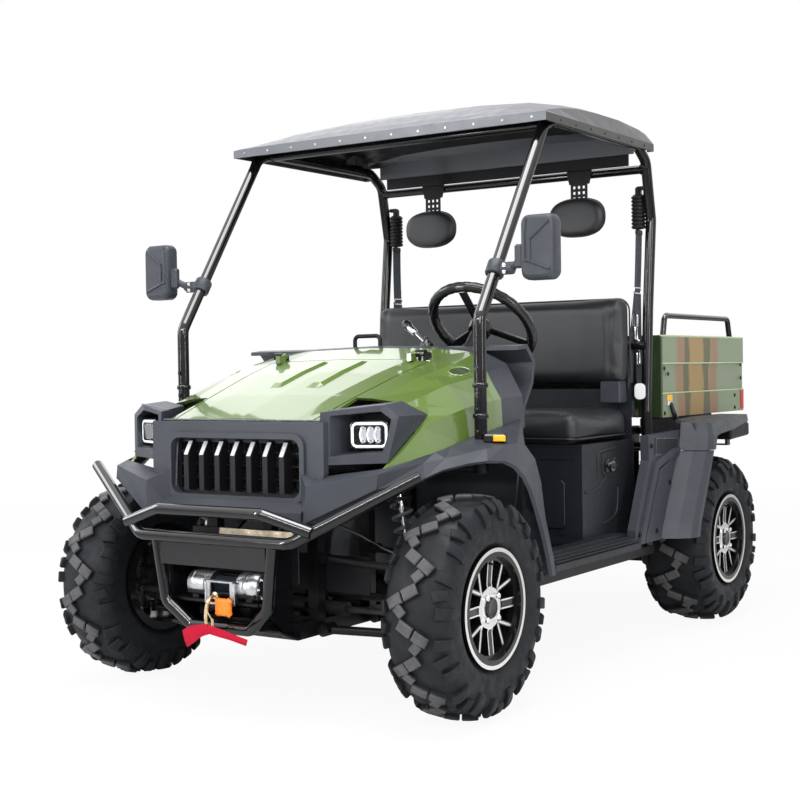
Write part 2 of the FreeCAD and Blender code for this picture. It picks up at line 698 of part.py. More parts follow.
def rear_fenders():
    """Corner cap above the side guard, with the shelf that runs back over the wheel below the bed."""
    y = rear_axle_y
    cap = skin([[(640, y - 298, 671), (694, y - 276, 671), (732, y - 248, 671), (744, y - 218, 671),
                 (744, y - 194, 671), (640, y - 194, 671)],
                [(640, y - 284, 728), (694, y - 264, 728), (730, y - 238, 728), (742, y - 212, 728),
                 (742, y - 168, 728), (640, y - 168, 728)],
                [(640, y - 276, 776), (690, y - 256, 774), (722, y - 234, 772), (733, y - 208, 770),
                 (733, y - 120, 770), (640, y - 120, 776)]])
    shelf = [(-262, 784, 690, 770, 694, 744), (-208, 786, 733, 770, 744, 716), (-140, 789, 733, 776, 744, 728),
             (0, 790, 731, 782, 741, 738), (200, 790, 722, 789, 727, 762)]
    sections = []
    for back, inner_z, crease_x, crease_z, lip_x, lip_z in shelf:
        outline = [(612, inner_z), (crease_x, crease_z), (lip_x, lip_z), (lip_x - fender_wall, lip_z),
                   (crease_x - fender_wall, crease_z - fender_wall), (612, inner_z - fender_wall)]
        sections.append([(x, y + back, z) for x, z in outline])
    parts = [cap, skin(sections)]
    low = deck_rail_top - 14
    for middle in (y - 175, y + 175):
        width = (middle - 15, middle + 15)
        parts.append(block((rail_x + rail_size / 2 + gap, 655), width, (low, low + 6)))
        parts.append(block((645, 655), width, (low, low + 118)))
    return pair(joined(parts))


def side_guards():
    """Quarter panel between the door opening and the rear wheel, with raised ribs and the wheel's flare."""
    y = rear_axle_y
    inner = cab_half_width + 56
    outer = inner + 32
    panel = prism_x([(y - 680, 360), (y - 360, 360), (y - 342, 400), (y - 322, 500), (y - 290, 600),
                     (y - 270, 650), (y - 270, 745), (y - 565, 738), (y - 562, 650), (y - 680, 412)], inner, outer)
    rib = prism_x([(y - 664, 366), (y - 628, 366), (y - 494, 618), (y - 350, 660), (y - 300, 664),
                   (y - 300, 684), (y - 360, 682), (y - 516, 644)], outer - 2, outer + 10)
    channel = prism_x([(y - 612, 366), (y - 584, 366), (y - 470, 600), (y - 380, 628), (y - 390, 640),
                       (y - 480, 612)], outer - 2, outer + 6)
    levels = [(362, -460, -342), (410, -440, -330), (554, -360, -252), (668, -300, -196)]
    column = skin([flare_section(outer, y, z, front, rear, 0) for z, front, rear in levels])
    hollow = skin([flare_section(outer, y, z, front, rear, fender_wall) for z, front, rear in
                   [(372, -458, -340), (410, -440, -330), (554, -360, -252), (658, -305, -200)]])
    return pair(joined([panel, rib, channel, column]).cut(hollow))


def flare_section(outer, y, z, front, rear, inset):
    """Rounded outline of the flare at one height, moved in by inset and then open to the rear."""
    back = y + rear + 4 * inset
    return [(outer + inset, y + front + 2 * inset, z), (outer + 52 - inset, y + front + 22 + inset, z),
            (outer + 91 - inset, y + front + 52 + inset, z), (outer + 102 - inset, y + front + 84 + inset, z),
            (outer + 102 - inset, back, z), (outer + inset, back, z)]


def shell_section(y, points, inset):
    """Half-outline mirrored to both sides, moved in by inset."""
    half = [(x - inset * max(0.0, min(1.0, (x - 300) / 200.0)), z - inset) for x, z in points]
    right = [(x, y, z) for x, z in half]
    left = [(-x, y, z) for x, z in reversed(half[1:])]
    return left + right


shell_stations = [
    (-238, [(0, 850), (200, 846), (318, 840), (400, 822), (455, 775), (468, 700)]),
    (-50, [(0, 916), (200, 912), (340, 903), (440, 882), (508, 822), (530, 745)]),
    (150, [(0, 980), (220, 975), (380, 964), (470, 937), (535, 870), (cab_half_width + 2, 760)]),
    (300, [(0, 1020), (240, 1016), (410, 1003), (500, 965), (cab_half_width, 890), (cab_half_width + 5, 780)]),
    (480, [(0, 1066), (250, 1060), (400, 1045), (490, 1000), (cab_half_width - 3, 900), (cab_half_width + 5, 800)]),
]


def body_shell():
    """Front body skin between nose and dash, as one wall."""
    outer = skin([shell_section(y, points, 0) for y, points in shell_stations])
    inner = skin([shell_section(y + 2 * (y == shell_stations[-1][0]) - 2 * (y == shell_stations[0][0]),
                                points, shell_wall) for y, points in shell_stations])
    return outer.cut(inner)


lid_front_x = 256.0
lid_rear_x = 312.0


def lid_prism(grow):
    front = lid_front_x + grow
    rear = lid_rear_x + grow
    y = hood_hinge_y + grow
    return prism_z([(-front, hood_front), (front, hood_front), (rear, y), (-rear, y)], 500, 1300)


def green_region():
    return prism_z([(-300, -230), (300, -230), (620, -230), (620, 335), (500, 345), (365, 450),
                    (-365, 450), (-500, 345), (-620, 335), (-620, -230)], 500, 1300)


def hood(shell):
    """Lid with its hinge eyes and a raised ridge on either side of its middle."""
    keep = prism_z([(-600, hood_front + 2), (600, hood_front + 2), (600, 600), (-600, 600)], 500, 1300)
    lid = shell.common(lid_prism(0)).common(keep)
    y = hood_hinge_y + 3
    z = hood_hinge_z
    ears = []
    for s in (-1, 1):
        ears.append(rod((s * 260 - 8, y, z), (s * 260 + 8, y, z), hinge_radius))
        ears.append(block((s * 260 - 8, s * 260 + 8), (y - 36, y - 3), (z - 24, z)))
    bore = rod((-300, y, z), (300, y, z), hinge_pin + bearing_fit)
    return joined([lid] + ears + pair(hood_ridge())).cut(bore)


def hood_ridge():
    """Flat-topped strip along the lid, pressed up from it and running out at both ends."""
    sections = []
    for y, rise in ((4, -3), (40, 8), (150, 8), (262, 7), (294, -3)):
        outline = []
        for x, lift in ((38, -5), (62, rise), (88, rise), (104, -5)):
            outline.append((x, y, shell_height(x, y) + lift))
        sections.append(outline)
    return skin(sections)


def shell_height(x, y):
    """Height of the body skin over (x, y), by straight lines between the stations' points."""
    for (y_low, low), (y_high, high) in zip(shell_stations, shell_stations[1:]):
        if y_low <= y <= y_high:
            share = (y - y_low) / (y_high - y_low)
            line = [(a[0] + share * (b[0] - a[0]), a[1] + share * (b[1] - a[1])) for a, b in zip(low, high)]
    for (x_low, z_low), (x_high, z_high) in zip(line, line[1:]):
        if x_low <= x <= x_high:
            return z_low + (z_high - z_low) * (x - x_low) / (x_high - x_low)


hood_hinge_z = 1036.0
hinge_radius = 9.0
hinge_pin = 5.0


def front_cowl(shell):
    """Green side panels and the strip behind the lid, with the lid's hinge pins."""
    fixed = shell.common(green_region()).cut(lid_prism(hood_gap))
    lamps = prism_x([(-400, 600), (-190, 716), (8, 860), (-58, 912), (-400, 912)], 285, 560)
    fixed = fixed.cut(lamps).cut(mirrored(lamps))
    y = hood_hinge_y + 3
    pins = []
    for s in (-1, 1):
        pins.append(rod((s * 268, y, hood_hinge_z), (s * 298, y, hood_hinge_z), hinge_radius))
        pins.append(rod((s * 248, y, hood_hinge_z), (s * 298, y, hood_hinge_z), hinge_pin))
        pins.append(block((s * 284 - 12, s * 284 + 12), (y, y + 40), (hood_hinge_z - 28, hood_hinge_z)))
    return joined([fixed] + pins)


def dash(shell):
    """Grey cowl over the front of the cab and the dash panel that falls to the floor."""
    nose = block((-620, 620), (-400, -229), (400, 1300))
    cowl = shell.cut(green_region().fuse([nose]))
    region = prism_z([(-620, 335.5), (-500, 345.5), (-365, 450.5), (365, 450.5), (500, 345.5), (620, 335.5),
                      (620, 700), (-620, 700)], 500, 1300)
    cowl = cowl.common(region)
    foot_z = floor_z + floor_wall + gap
    outer = [(470, 1054), (525, 1060), (578, 1010), (562, 935), (508, 862), (458, 640), (410, 420), (400, foot_z)]
    inner = [(390, foot_z), (400, 424), (448, 645), (496, 868), (546, 940), (560, 1004), (518, 1046), (470, 1042)]
    panel = prism_x(outer + inner, 8 - cab_half_width, cab_half_width - 8)
    whole = joined([cowl, panel])
    hole = Part.makeCylinder(column_radius + gap, 400, V(*along_column(column_far + 60)), steering_axis())
    return whole.cut(hole)


def grab_handle():
    z = 1058 + gap
    return bent_bar([(-108, 500, z), (-108, 500, z + 42), (-5, 500, z + 42), (-5, 500, z)], 7, 16)


def shift_lever():
    return joined([rod((172, 513, 1069), (40, 590, 1140), 6), rod((60, 578, 1128), (22, 600, 1150), 13),
                   rod((174, 512, 1060 + gap), (174, 512, 1072), 22)])


# Cab

def floor_pan():
    """Flat floor from the toe of the dash to the seat box."""
    return block((-cab_half_width, cab_half_width), (388, seat_box_front - gap), (floor_z, floor_z + floor_wall))


def seat_box():
    """Panel in front of and beside the engine bay, with the deck that carries the bench."""
    x = cab_half_width
    wall = 8.0
    front = block((-x, x), (seat_box_front, seat_box_front + wall), (floor_z, seat_box_top))
    sides = [block((s * (x - wall / 2) - wall / 2, s * (x - wall / 2) + wall / 2), (seat_box_front, bench_rear),
                   (floor_z, seat_box_top)) for s in (-1, 1)]
    top = block((-x, x), (seat_box_front, bench_rear), (seat_box_top - wall, seat_box_top))
    back = block((8 - x, x - 8), (bench_rear - wall, bench_rear), (seat_box_top - wall, 904))
    trims = [block((s * 330 - 190, s * 330 + 190), (seat_box_front - 4, seat_box_front), (z, z + 14))
             for s in (-1, 1) for z in (floor_z + 48, seat_box_top - 50)]
    return joined([front, top, back] + sides + trims)


def rockers():
    """Side sills below the door openings."""
    x = cab_half_width
    profile = [(x + gap, floor_z), (x + 52, floor_z), (x + 107, 352), (x + 107, 372), (x + 88, 376),
               (x + 88, 388), (x + 52, 392), (x + 52, 402), (x + gap, 402)]
    return pair(prism_y(profile, 478, rear_axle_y - 680 - gap))


def cushion():
    x = cab_half_width - 3
    top = seat_box_top + 116
    pad = block((-x, x), (seat_box_front - 35, bench_rear - 20), (seat_box_top + gap, top))
    return rounded(pad, 38, lambda e: e.BoundBox.ZMin > top - 8)


seat_bar_y = bench_rear + 35
header_y = bench_rear + 60


def seat_back():
    back = seat_bar_y - 14 - gap
    x = cab_half_width - 8
    pad = block((-x, x), (back - 96, back), (915, 1238))
    return rounded(pad, 40, lambda e: e.BoundBox.YMin < back - 90 or e.BoundBox.ZMin > 1230)


def headrests():
    x = 321.0
    plate_back = header_y - 16 - gap
    pad = block((x - 116, x + 116), (plate_back - 54, plate_back + 10), (1464, 1614))
    pad = rounded(pad, 68, lambda e: e.BoundBox.YLength > 60)
    pad = rounded(pad, 18, lambda e: e.BoundBox.YLength < 1)
    plate = block((x - 34, x + 34), (plate_back - 6, plate_back), (1600, 1722))
    slots = [block((x - 20 + 40 * i - 5, x - 20 + 40 * i + 5), (plate_back - 20, plate_back + 10), (1632, 1662))
             for i in (0, 1)]
    for slot in slots:
        plate = plate.cut(slot)
    return pair(joined([pad, plate]))


post_bend = (162.0, 1131.0)
post_top = (575.0, 1748.0)
rail_z = 1776.0
rear_post_y = bench_rear + 38


def cage():
    """Two side hoops with the header tubes and the bar behind the bench."""
    x = cage_x
    front_foot = (x, post_bend[0], deck_rail_top + 30 + gap)
    hoop = bent_bar([front_foot, (x, post_bend[0], post_bend[1]), (x, post_top[0], post_top[1]),
                     (x, 640, rail_z), (x, rear_post_y - 58, rail_z), (x, rear_post_y + 18, 1728),
                     (x, rear_post_y + 61, 1518), (x, rear_post_y + 25, 1189), (x, rear_post_y, 820),
                     (x, rear_post_y, outrigger_z[1] + gap)],
                    cage_radius, 55)
    headers = [rod((-x, header_y, 1700), (x, header_y, 1700), 16), rod((-x, 640, 1765), (x, 640, 1765), 14),
               rod((-x, seat_bar_y, 1060), (x, seat_bar_y, 1060), 14)]
    return joined([hoop, mirrored(hoop)] + headers)


# Share of the roof's length from the front, and share of its rise there.
roof_crown = ((0.0, 0.05), (0.05, 0.24), (0.15, 0.55), (0.3, 0.84), (0.48, 0.98), (0.7, 1.0), (0.9, 0.82),
              (0.97, 0.66), (1.0, 0.44))


def roof():
    """Pressed roof with a level rim and a crowned middle, as one thin wall."""
    def surface(drop, inset):
        stations = []
        for share, rise in roof_crown:
            y = roof_front + inset + share * (roof_rear - roof_front - 2 * inset)
            lift = roof_rise * rise
            half = roof_half_width - inset
            points = [(0, lift), (half * 0.4, lift * 0.96), (half * 0.7, lift * 0.84), (half * 0.88, lift * 0.62),
                      (half * 0.965, lift * 0.45), (half, 0)]
            upper = [(-px, y, roof_edge_z + pz + 26 - drop) for px, pz in reversed(points[1:])]
            upper += [(px, y, roof_edge_z + pz + 26 - drop) for px, pz in points]
            lower = [(half, y, roof_edge_z - 40), (-half, y, roof_edge_z - 40)]
            stations.append(upper + lower)
        return skin(stations)
    shell = surface(0, 0).cut(surface(roof_wall, roof_wall))
    keep = block((-700, 700), (roof_front - 1, roof_rear + 1), (roof_edge_z, 2000))
    pads = [block((s * cage_x - 20, s * cage_x + 20), (y - 30, y + 30), (rail_z + cage_radius + gap, 1990))
            for s in (-1, 1) for y in (roof_front + 300, roof_rear - 145)]
    pads = [pad.common(surface(roof_wall / 2, roof_wall / 2)) for pad in pads]
    whole = joined([shell.common(keep)] + pads)
    for s in (-1, 1):
        whole = whole.cut(block((s * cage_x - 27, s * cage_x + 27), (roof_rear - 30, roof_rear + 10),
                                (roof_edge_z - 20, rail_z + cage_radius + 6)))
    return whole


def seat_belts():
    """Webbing on each rear post with the ribbed reel cover and its mount."""
    x = cage_x - cage_radius - gap
    reel = block((x - 44, x), (rear_post_y + 32, rear_post_y + 76), (1500, 1620))
    web = block((x - 40, x - 36), (rear_post_y + 38, rear_post_y + 72), (800, 1500))
    return pair(joined([reel, web]))


def mirrors():
    """Housing, stalk and clamp on the front posts."""
    z = 1268.0
    slope = (post_top[0] - post_bend[0]) / (post_top[1] - post_bend[1])
    post = (cage_x, post_bend[0] + (z - post_bend[1]) * slope, z)
    clamp = rod((post[0], post[1] - 16 * slope, z - 16), (post[0], post[1] + 16 * slope, z + 16), 27)
    stalk = rod((post[0] + 20, post[1], post[2]), (cage_x + 120, 232, 1300), 8)
    shell = block((cage_x + 110, cage_x + 220), (205, 262), (1228, 1412))
    shell = rounded(shell, 18, lambda e: e.BoundBox.YLength > 50 and e.BoundBox.XLength < 1)
    bore = rod((post[0], post[1] - 80 * slope, z - 80), (post[0], post[1] + 80 * slope, z + 80), cage_radius + gap)
    return joined([clamp, stalk, shell]), bore


# Load bed

def cargo_bed():
    """Tub with floor, front wall and side walls on two channels that turn on the frame's pivot."""
    x = bed_half_width
    floor = block((-x, x), (bed_front, bed_rear - gate_wall - move_gap), (bed_floor_z, bed_floor_z + bed_wall))
    front = block((-x, x), (bed_front, bed_front + bed_wall), (bed_floor_z, bed_top_z))
    side = block((x - bed_wall, x), (bed_front, bed_rear), (bed_floor_z, bed_top_z))
    bands = [block((x - 2, x + 6), (bed_front + 4, bed_rear - 4), heights)
             for heights in ((bed_top_z - 104, bed_top_z), (bed_floor_z, bed_floor_z + 88))]
    channel = block((rail_x - 16, rail_x + 16), (bed_front + 60, bed_pivot_y - 80),
                    (deck_rail_top + gap, bed_floor_z))
    pivot = rod((200, bed_pivot_y, bed_pivot_z), (300, bed_pivot_y, bed_pivot_z), pivot_radius + bearing_fit)
    ear = block((240, 254), (bed_pivot_y - 24, bed_pivot_y + 24), (bed_pivot_z - 24, bed_floor_z)).cut(pivot)
    one = joined([side, channel, ear] + bands)
    whole = joined([floor, front, one, mirrored(one)])
    lugs = [block((s * 584 - 7, s * 584 + 7), (bed_rear - 4, gate_pin_y + 8), (gate_pin_z - 8, gate_pin_z + 14))
            for s in (-1, 1)]
    pins = [rod((s * 545, gate_pin_y, gate_pin_z), (s * 584, gate_pin_y, gate_pin_z), 5) for s in (-1, 1)]
    return joined([whole] + lugs + pins)


gate_pin_y = bed_rear + 10
gate_pin_z = bed_floor_z + 10


def tailgate():
    x = bed_half_width - bed_wall - move_gap
    panel = block((-x, x), (bed_rear - gate_wall, bed_rear), (bed_floor_z + 2, bed_top_z - 6))
    handle = block((-70, 70), (bed_rear, rear_axle_y + rear_overhang), (bed_top_z - 60, bed_top_z - 30))
    barrels = [joined([rod((s * 530, gate_pin_y, gate_pin_z), (s * 562, gate_pin_y, gate_pin_z), 9),
                       block((s * 546 - 16, s * 546 + 16), (bed_rear - 2, gate_pin_y), (gate_pin_z, gate_pin_z + 9))])
               for s in (-1, 1)]
    bore = rod((-600, gate_pin_y, gate_pin_z), (600, gate_pin_y, gate_pin_z), 5 + bearing_fit)
    return joined([panel, handle] + barrels).cut(bore)


def bed_rails():
    x = bed_half_width - bed_wall / 2
    z = bed_top_z + gap
    low = bed_front + 57
    high = bed_rear - 113
    bar = bent_bar([(x, low, z), (x, low + 18, z + 74), (x, high - 23, z + 74), (x, high, z)], 11, 26)
    keep = block((x - 40, x + 40), (low - 80, high + 120), (z, z + 200))
    return pair(bar.common(keep))


def rear_bumper():
    """Cross bar behind the frame with the hitch tongue and its ball hole."""
    y = rear_axle_y + 290 + gap
    bar = block((-480, 480), (y, y + 40), (520, 570))
    plates = [block((s * rail_x - 25, s * rail_x + 25), (y, y + 10), (245, 632)) for s in (-1, 1)]
    tongue = block((-38, 38), (y, y + 118), (300, 316))
    stem = block((-214, 214), (y, y + 10), (285, 330))
    hole = rod((0, y + 78, 280), (0, y + 78, 340), 9.5)
    return joined([bar, tongue, stem] + plates).cut(hole)


def tail_lamps():
    y = rear_axle_y + 290 + gap
    return pair(block((400, 470), (y + 40 + gap, y + 62), (524, 566)))


def build():
    os.makedirs("parts", exist_ok=True)
    front_tyre = tyre(front_tyre_width)
    front_rim = wheel_rim(front_tyre_width, kingpin_x - 18 - front_wheel_x)
    rear_tyre = tyre(rear_tyre_width)
    rear_rim = wheel_rim(rear_tyre_width, rear_carrier_x - 30 - rear_wheel_x)
    for place, y, x, tyre_shape, rim_shape in (("front", 0, front_wheel_x, front_tyre, front_rim),
                                               ("rear", rear_axle_y, rear_wheel_x, rear_tyre, rear_rim)):
        for side, turn in (("left", False), ("right", True)):
            for name, shape in (("tyre", tyre_shape), ("rim", rim_shape)):
                placed = at_wheel(shape, x, y)
                save("%s_%s_%s" % (name, place, side), mirrored(placed) if turn else placed)
    knuckle = knuckle_left()
    save("knuckle_left", knuckle)
    save("knuckle_right", mirrored(knuckle))
    save("steering_rack", steering_rack())
    save("steering_wheel", steering_wheel())
    save("steering_column", steering_column(), rack_housing_solid())
    save("main_frame", main_frame())
    save("suspension_arms", *suspension_arms())
    save("shocks", *(pair(shock(0)) + pair(shock(rear_axle_y))))
    save("driveline", *driveline())
    save("engine", engine())
    save("muffler", muffler())
    save("skid_plate", skid_plate())
    save("radiator", radiator())
    front_face = fascia()
    save("fascia", front_face)
    save("grille", grille())
    save("headlights", *headlights(front_face))
    save("front_bumper", front_bumper())
    save("winch", winch())
    save("winch_hook", winch_hook())
    save("front_fenders", *front_fenders())
    save("rear_fenders", *rear_fenders())
    save("side_guards", *side_guards())
    shell = body_shell()
    save("hood", hood(shell))
    save("front_cowl", front_cowl(shell))
    save("dash", dash(shell))
    save("grab_handle", grab_handle())
    save("shift_lever", shift_lever())
    save("floor_pan", floor_pan())
    save("seat_box", seat_box())
    save("rockers", *rockers())
    save("seat_cushion", cushion())
    save("seat_back", seat_back())
    save("headrests", *headrests())
    save("cage", cage())
    save("roof", roof())
    save("seat_belts", *seat_belts())
    mirror_shape, post_bore = mirrors()
    save("mirrors", *pair(mirror_shape.cut(post_bore)))
    save("cargo_bed", cargo_bed())
    save("bed_rails", *bed_rails())
    save("tailgate", tailgate())
    save("rear_bumper", rear_bumper())
    save("tail_lamps", *tail_lamps())


build()
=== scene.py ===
"""Dresses a side by side utility vehicle: finishes for every part, and the shapes that only the eye needs."""

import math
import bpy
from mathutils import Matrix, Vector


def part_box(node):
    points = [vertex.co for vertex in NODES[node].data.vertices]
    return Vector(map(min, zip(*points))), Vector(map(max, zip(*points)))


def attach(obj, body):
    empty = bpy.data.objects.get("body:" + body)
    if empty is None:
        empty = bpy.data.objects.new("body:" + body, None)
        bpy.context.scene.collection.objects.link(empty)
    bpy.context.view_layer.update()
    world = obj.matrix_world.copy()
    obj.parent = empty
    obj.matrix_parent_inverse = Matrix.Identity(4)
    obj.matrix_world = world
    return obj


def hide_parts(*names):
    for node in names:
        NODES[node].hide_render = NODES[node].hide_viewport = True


bl_info = {
    "name": "Side by Side Utility Vehicle Looks",
    "version": (1, 0, 0),
    "blender": (4, 5, 0),
    "location": "3D View > Sidebar > Utility Vehicle",
    "description": "Builds the finishes, tyres, seats, lamps and small fittings of a side by side utility vehicle",
    "category": "Object",
}

import bpy
import numpy as np
from mathutils import Matrix, Vector

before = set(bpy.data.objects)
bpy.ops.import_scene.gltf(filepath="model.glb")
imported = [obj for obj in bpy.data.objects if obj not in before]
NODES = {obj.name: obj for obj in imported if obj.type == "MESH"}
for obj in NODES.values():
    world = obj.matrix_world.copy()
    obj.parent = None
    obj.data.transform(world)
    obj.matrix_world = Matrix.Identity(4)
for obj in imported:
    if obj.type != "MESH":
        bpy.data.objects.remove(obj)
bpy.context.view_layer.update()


# Sizes and colours that a user would change

def length_setting(name, description, default, least=0.0):
    return bpy.props.FloatProperty(name=name, description=description, default=default, min=least,
                                   unit="LENGTH")


def colour_setting(name, description, default):
    return bpy.props.FloatVectorProperty(name=name, description=description, subtype="COLOR", size=3,
                                         default=default)


class VehicleSizes(bpy.types.PropertyGroup):
    """Sizes of the pieces that are modelled here."""

    lug_height: length_setting("Lug height", "Height of the tread lugs above the carcass", 0.017, 0.004)
    lug_pitches: bpy.props.IntProperty(name="Tread pitches",
                                       description="Times the tread pattern repeats round a tyre",
                                       default=10, min=6, max=16)
    cushion_crown: length_setting("Cushion crown", "How far the bench's padding swells", 0.016)
    bolt_radius: length_setting("Bolt head", "Radius of the hexagon bolt heads", 0.008, 0.003)
    spring_wire: length_setting("Spring wire", "Radius of the damper springs' wire", 0.0055, 0.002)


class VehicleColours(bpy.types.PropertyGroup):
    """Colours of the finishes, linear."""

    paint: colour_setting("Body paint", "Gloss olive green of the hood", (0.1, 0.165, 0.03))
    bed: colour_setting("Bed paint", "Satin sage green of the load bed", (0.2, 0.25, 0.145))
    slate: colour_setting("Slate plastic", "Grained plastic of the front and fenders", (0.041, 0.045, 0.056))
    rubber: colour_setting("Rubber", "Tyre rubber", (0.01, 0.0115, 0.014))
    strap: colour_setting("Pull strap", "Red strap on the winch hook", (0.48, 0.004, 0.03))


# Meshes from whole arrays

def mesh_piece(name, points, face_sets, body, smooth=True):
    """Object from points (n, 3) and a list of index arrays, each (m, k) with k corners a face; it rides on
    body."""
    points = np.asarray(points, np.float32).reshape(-1, 3)
    face_sets = [np.asarray(faces, np.int32) for faces in face_sets if len(faces)]
    mesh = bpy.data.meshes.new(name)
    mesh.vertices.add(len(points))
    mesh.vertices.foreach_set("co", points.ravel())
    corners = np.concatenate([faces.ravel() for faces in face_sets])
    counts = np.concatenate([np.full(len(faces), faces.shape[1], np.int32) for faces in face_sets])
    mesh.loops.add(len(corners))
    mesh.loops.foreach_set("vertex_index", corners)
    mesh.polygons.add(len(counts))
    mesh.polygons.foreach_set("loop_start", np.concatenate([[0], np.cumsum(counts)[:-1]]).astype(np.int32))
    mesh.update(calc_edges=True)
    mesh.validate()
    mesh.polygons.foreach_set("use_smooth", np.full(len(mesh.polygons), smooth))
    piece = bpy.data.objects.new(name, mesh)
    bpy.context.collection.objects.link(piece)
    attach(piece, body)
    return piece


def coordinates(mesh):
    """The mesh's points (n, 3)."""
    here = np.empty(len(mesh.vertices) * 3, np.float32)
    mesh.vertices.foreach_get("co", here)
    return here.reshape(-1, 3)


def whole_turn(steps):
    return np.linspace(0, 2 * np.pi, steps, endpoint=False)


def grid_faces(rows, columns, wrap_rows=False, wrap_columns=False):
    """Quads of a rows by columns grid of points, joined round where a direction wraps."""
    row = np.arange(rows if wrap_rows else rows - 1)[:, None]
    column = np.arange(columns if wrap_columns else columns - 1)[None, :]
    next_row = (row + 1) % rows
    next_column = (column + 1) % columns
    corners = [row * columns + column, row * columns + next_column, next_row * columns + next_column,
               next_row * columns + column]
    return np.stack([np.broadcast_to(c, (row.size, column.size)) for c in corners], axis=-1).reshape(-1, 4)


def tile(points, faces, copies):
    """The template's points moved by each 4x4 in copies (k, 4, 4), with its faces offset for each copy."""
    points = np.asarray(points, float)
    copies = np.asarray(copies, float)
    moved = np.einsum("kij,nj->kni", copies[:, :3, :3], points) + copies[:, None, :3, 3]
    offset = (np.arange(len(copies)) * len(points))[:, None, None]
    return moved.reshape(-1, 3), [(np.asarray(f)[None] + offset).reshape(-1, np.asarray(f).shape[1])
                                  for f in faces]


def merged(*shapes):
    """One (points, face sets) pair from several."""
    all_points = []
    all_faces = []
    start = 0
    for points, faces in shapes:
        points = np.asarray(points, float).reshape(-1, 3)
        all_points.append(points)
        all_faces += [np.asarray(f) + start for f in faces]
        start += len(points)
    return np.concatenate(all_points), all_faces


def unit(vectors):
    return vectors / np.maximum(np.linalg.norm(vectors, axis=-1, keepdims=True), 1e-12)


def pipe(path, radius, across, sides=12, closed=False):
    """Tube round a path (n, 3): a ring of points at radius in the plane of two normals of the path at each
    station, the first normal being across with its part along the path taken off. Ends close on a middle
    point."""
    path = np.asarray(path, float)
    radius = np.broadcast_to(np.asarray(radius, float), (len(path),))
    along = np.gradient(path, axis=0)
    if closed:
        along = np.roll(path, -1, axis=0) - np.roll(path, 1, axis=0)
    along = unit(along)
    first = np.broadcast_to(np.asarray(across, float), path.shape)
    first = unit(first - (first * along).sum(1, keepdims=True) * along)
    second = np.cross(along, first)
    turn = whole_turn(sides)
    ring = np.cos(turn)[None, :, None] * first[:, None] + np.sin(turn)[None, :, None] * second[:, None]
    points = (path[:, None] + ring * radius[:, None, None]).reshape(-1, 3)
    faces = [grid_faces(len(path), sides, closed, True)]
    if not closed:
        middle = len(points)
        points = np.concatenate([points, path[:1], path[-1:]])
        step = np.arange(sides)
        faces.append(np.stack([np.full(sides, middle), (step + 1) % sides, step], 1))
        last = (len(path) - 1) * sides
        faces.append(np.stack([np.full(sides, middle + 1), last + step, last + (step + 1) % sides], 1))
    return points, faces


def bent_path(corners, bend, steps=7):
    """Straight runs with a round bend at each inner corner: each corner is left at the distance bend on both
    sides and crossed by a quadratic curve."""
    corners = np.asarray(corners, float)
    share = np.linspace(0, 1, steps)[:, None]
    route = [corners[:1]]
    for before, corner, after in zip(corners[:-2], corners[1:-1], corners[2:]):
        start = corner + unit(before - corner) * min(bend, np.linalg.norm(before - corner) * 0.48)
        end = corner + unit(after - corner) * min(bend, np.linalg.norm(after - corner) * 0.48)
        route.append((1 - share) ** 2 * start + 2 * share * (1 - share) * corner + share ** 2 * end)
    route.append(corners[-1:])
    return np.concatenate(route)


def turned(profile, sides, axis, start, angle=2 * np.pi):
    """Surface of revolution: a profile (n, 2) of distance along the axis and radius, turned about the axis
    line that starts at start. The profile's ends lie on the axis or are left open."""
    profile = np.asarray(profile, float)
    axis = unit(np.asarray(axis, float))
    helper = np.array([0.0, 0.0, 1.0]) if abs(axis[2]) < 0.9 else np.array([1.0, 0.0, 0.0])
    first = unit(np.cross(axis, helper))
    second = np.cross(axis, first)
    turn = np.linspace(0, angle, sides, endpoint=False)
    ring = np.cos(turn)[:, None] * first + np.sin(turn)[:, None] * second
    points = np.asarray(start, float) + profile[:, None, :1] * axis + profile[:, None, 1:] * ring[None]
    return points.reshape(-1, 3), [grid_faces(len(profile), sides, False, True)[:, ::-1]]


def soft_block(size, bevel):
    """Block of the full size (3,) about the origin with every edge cut off by bevel: 24 points, each corner
    being pulled in along two of the three axes."""
    half = np.asarray(size, float) / 2
    signs = np.array([(x, y, z) for x in (-1, 1) for y in (-1, 1) for z in (-1, 1)], float)
    points = (signs[:, None, :] * (half - bevel * (1 - np.eye(3))[None])).reshape(-1, 3)
    index = {tuple(s): i for i, s in enumerate(signs.astype(int))}
    quads = []
    for axis in range(3):
        b, c = (axis + 1) % 3, (axis + 2) % 3
        for s in (-1, 1):
            ring = []
            for sb, sc in ((-1, -1), (1, -1), (1, 1), (-1, 1)):
                corner = [0, 0, 0]
                corner[axis], corner[b], corner[c] = s, sb, sc
                ring.append(index[tuple(corner)] * 3 + axis)
            quads.append(ring if s > 0 else ring[::-1])
        for sb in (-1, 1):
            for sc in (-1, 1):
                low, high = [0, 0, 0], [0, 0, 0]
                low[axis], high[axis] = -1, 1
                low[b] = high[b] = sb
                low[c] = high[c] = sc
                strip = [index[tuple(low)] * 3 + b, index[tuple(high)] * 3 + b, index[tuple(high)] * 3 + c,
                         index[tuple(low)] * 3 + c]
                quads.append(strip if sb * sc < 0 else strip[::-1])
    tris = [[i * 3, i * 3 + 1, i * 3 + 2] if s.prod() > 0 else [i * 3, i * 3 + 2, i * 3 + 1]
            for i, s in enumerate(signs)]
    return points, [np.array(quads)[:, ::-1], np.array(tris)]


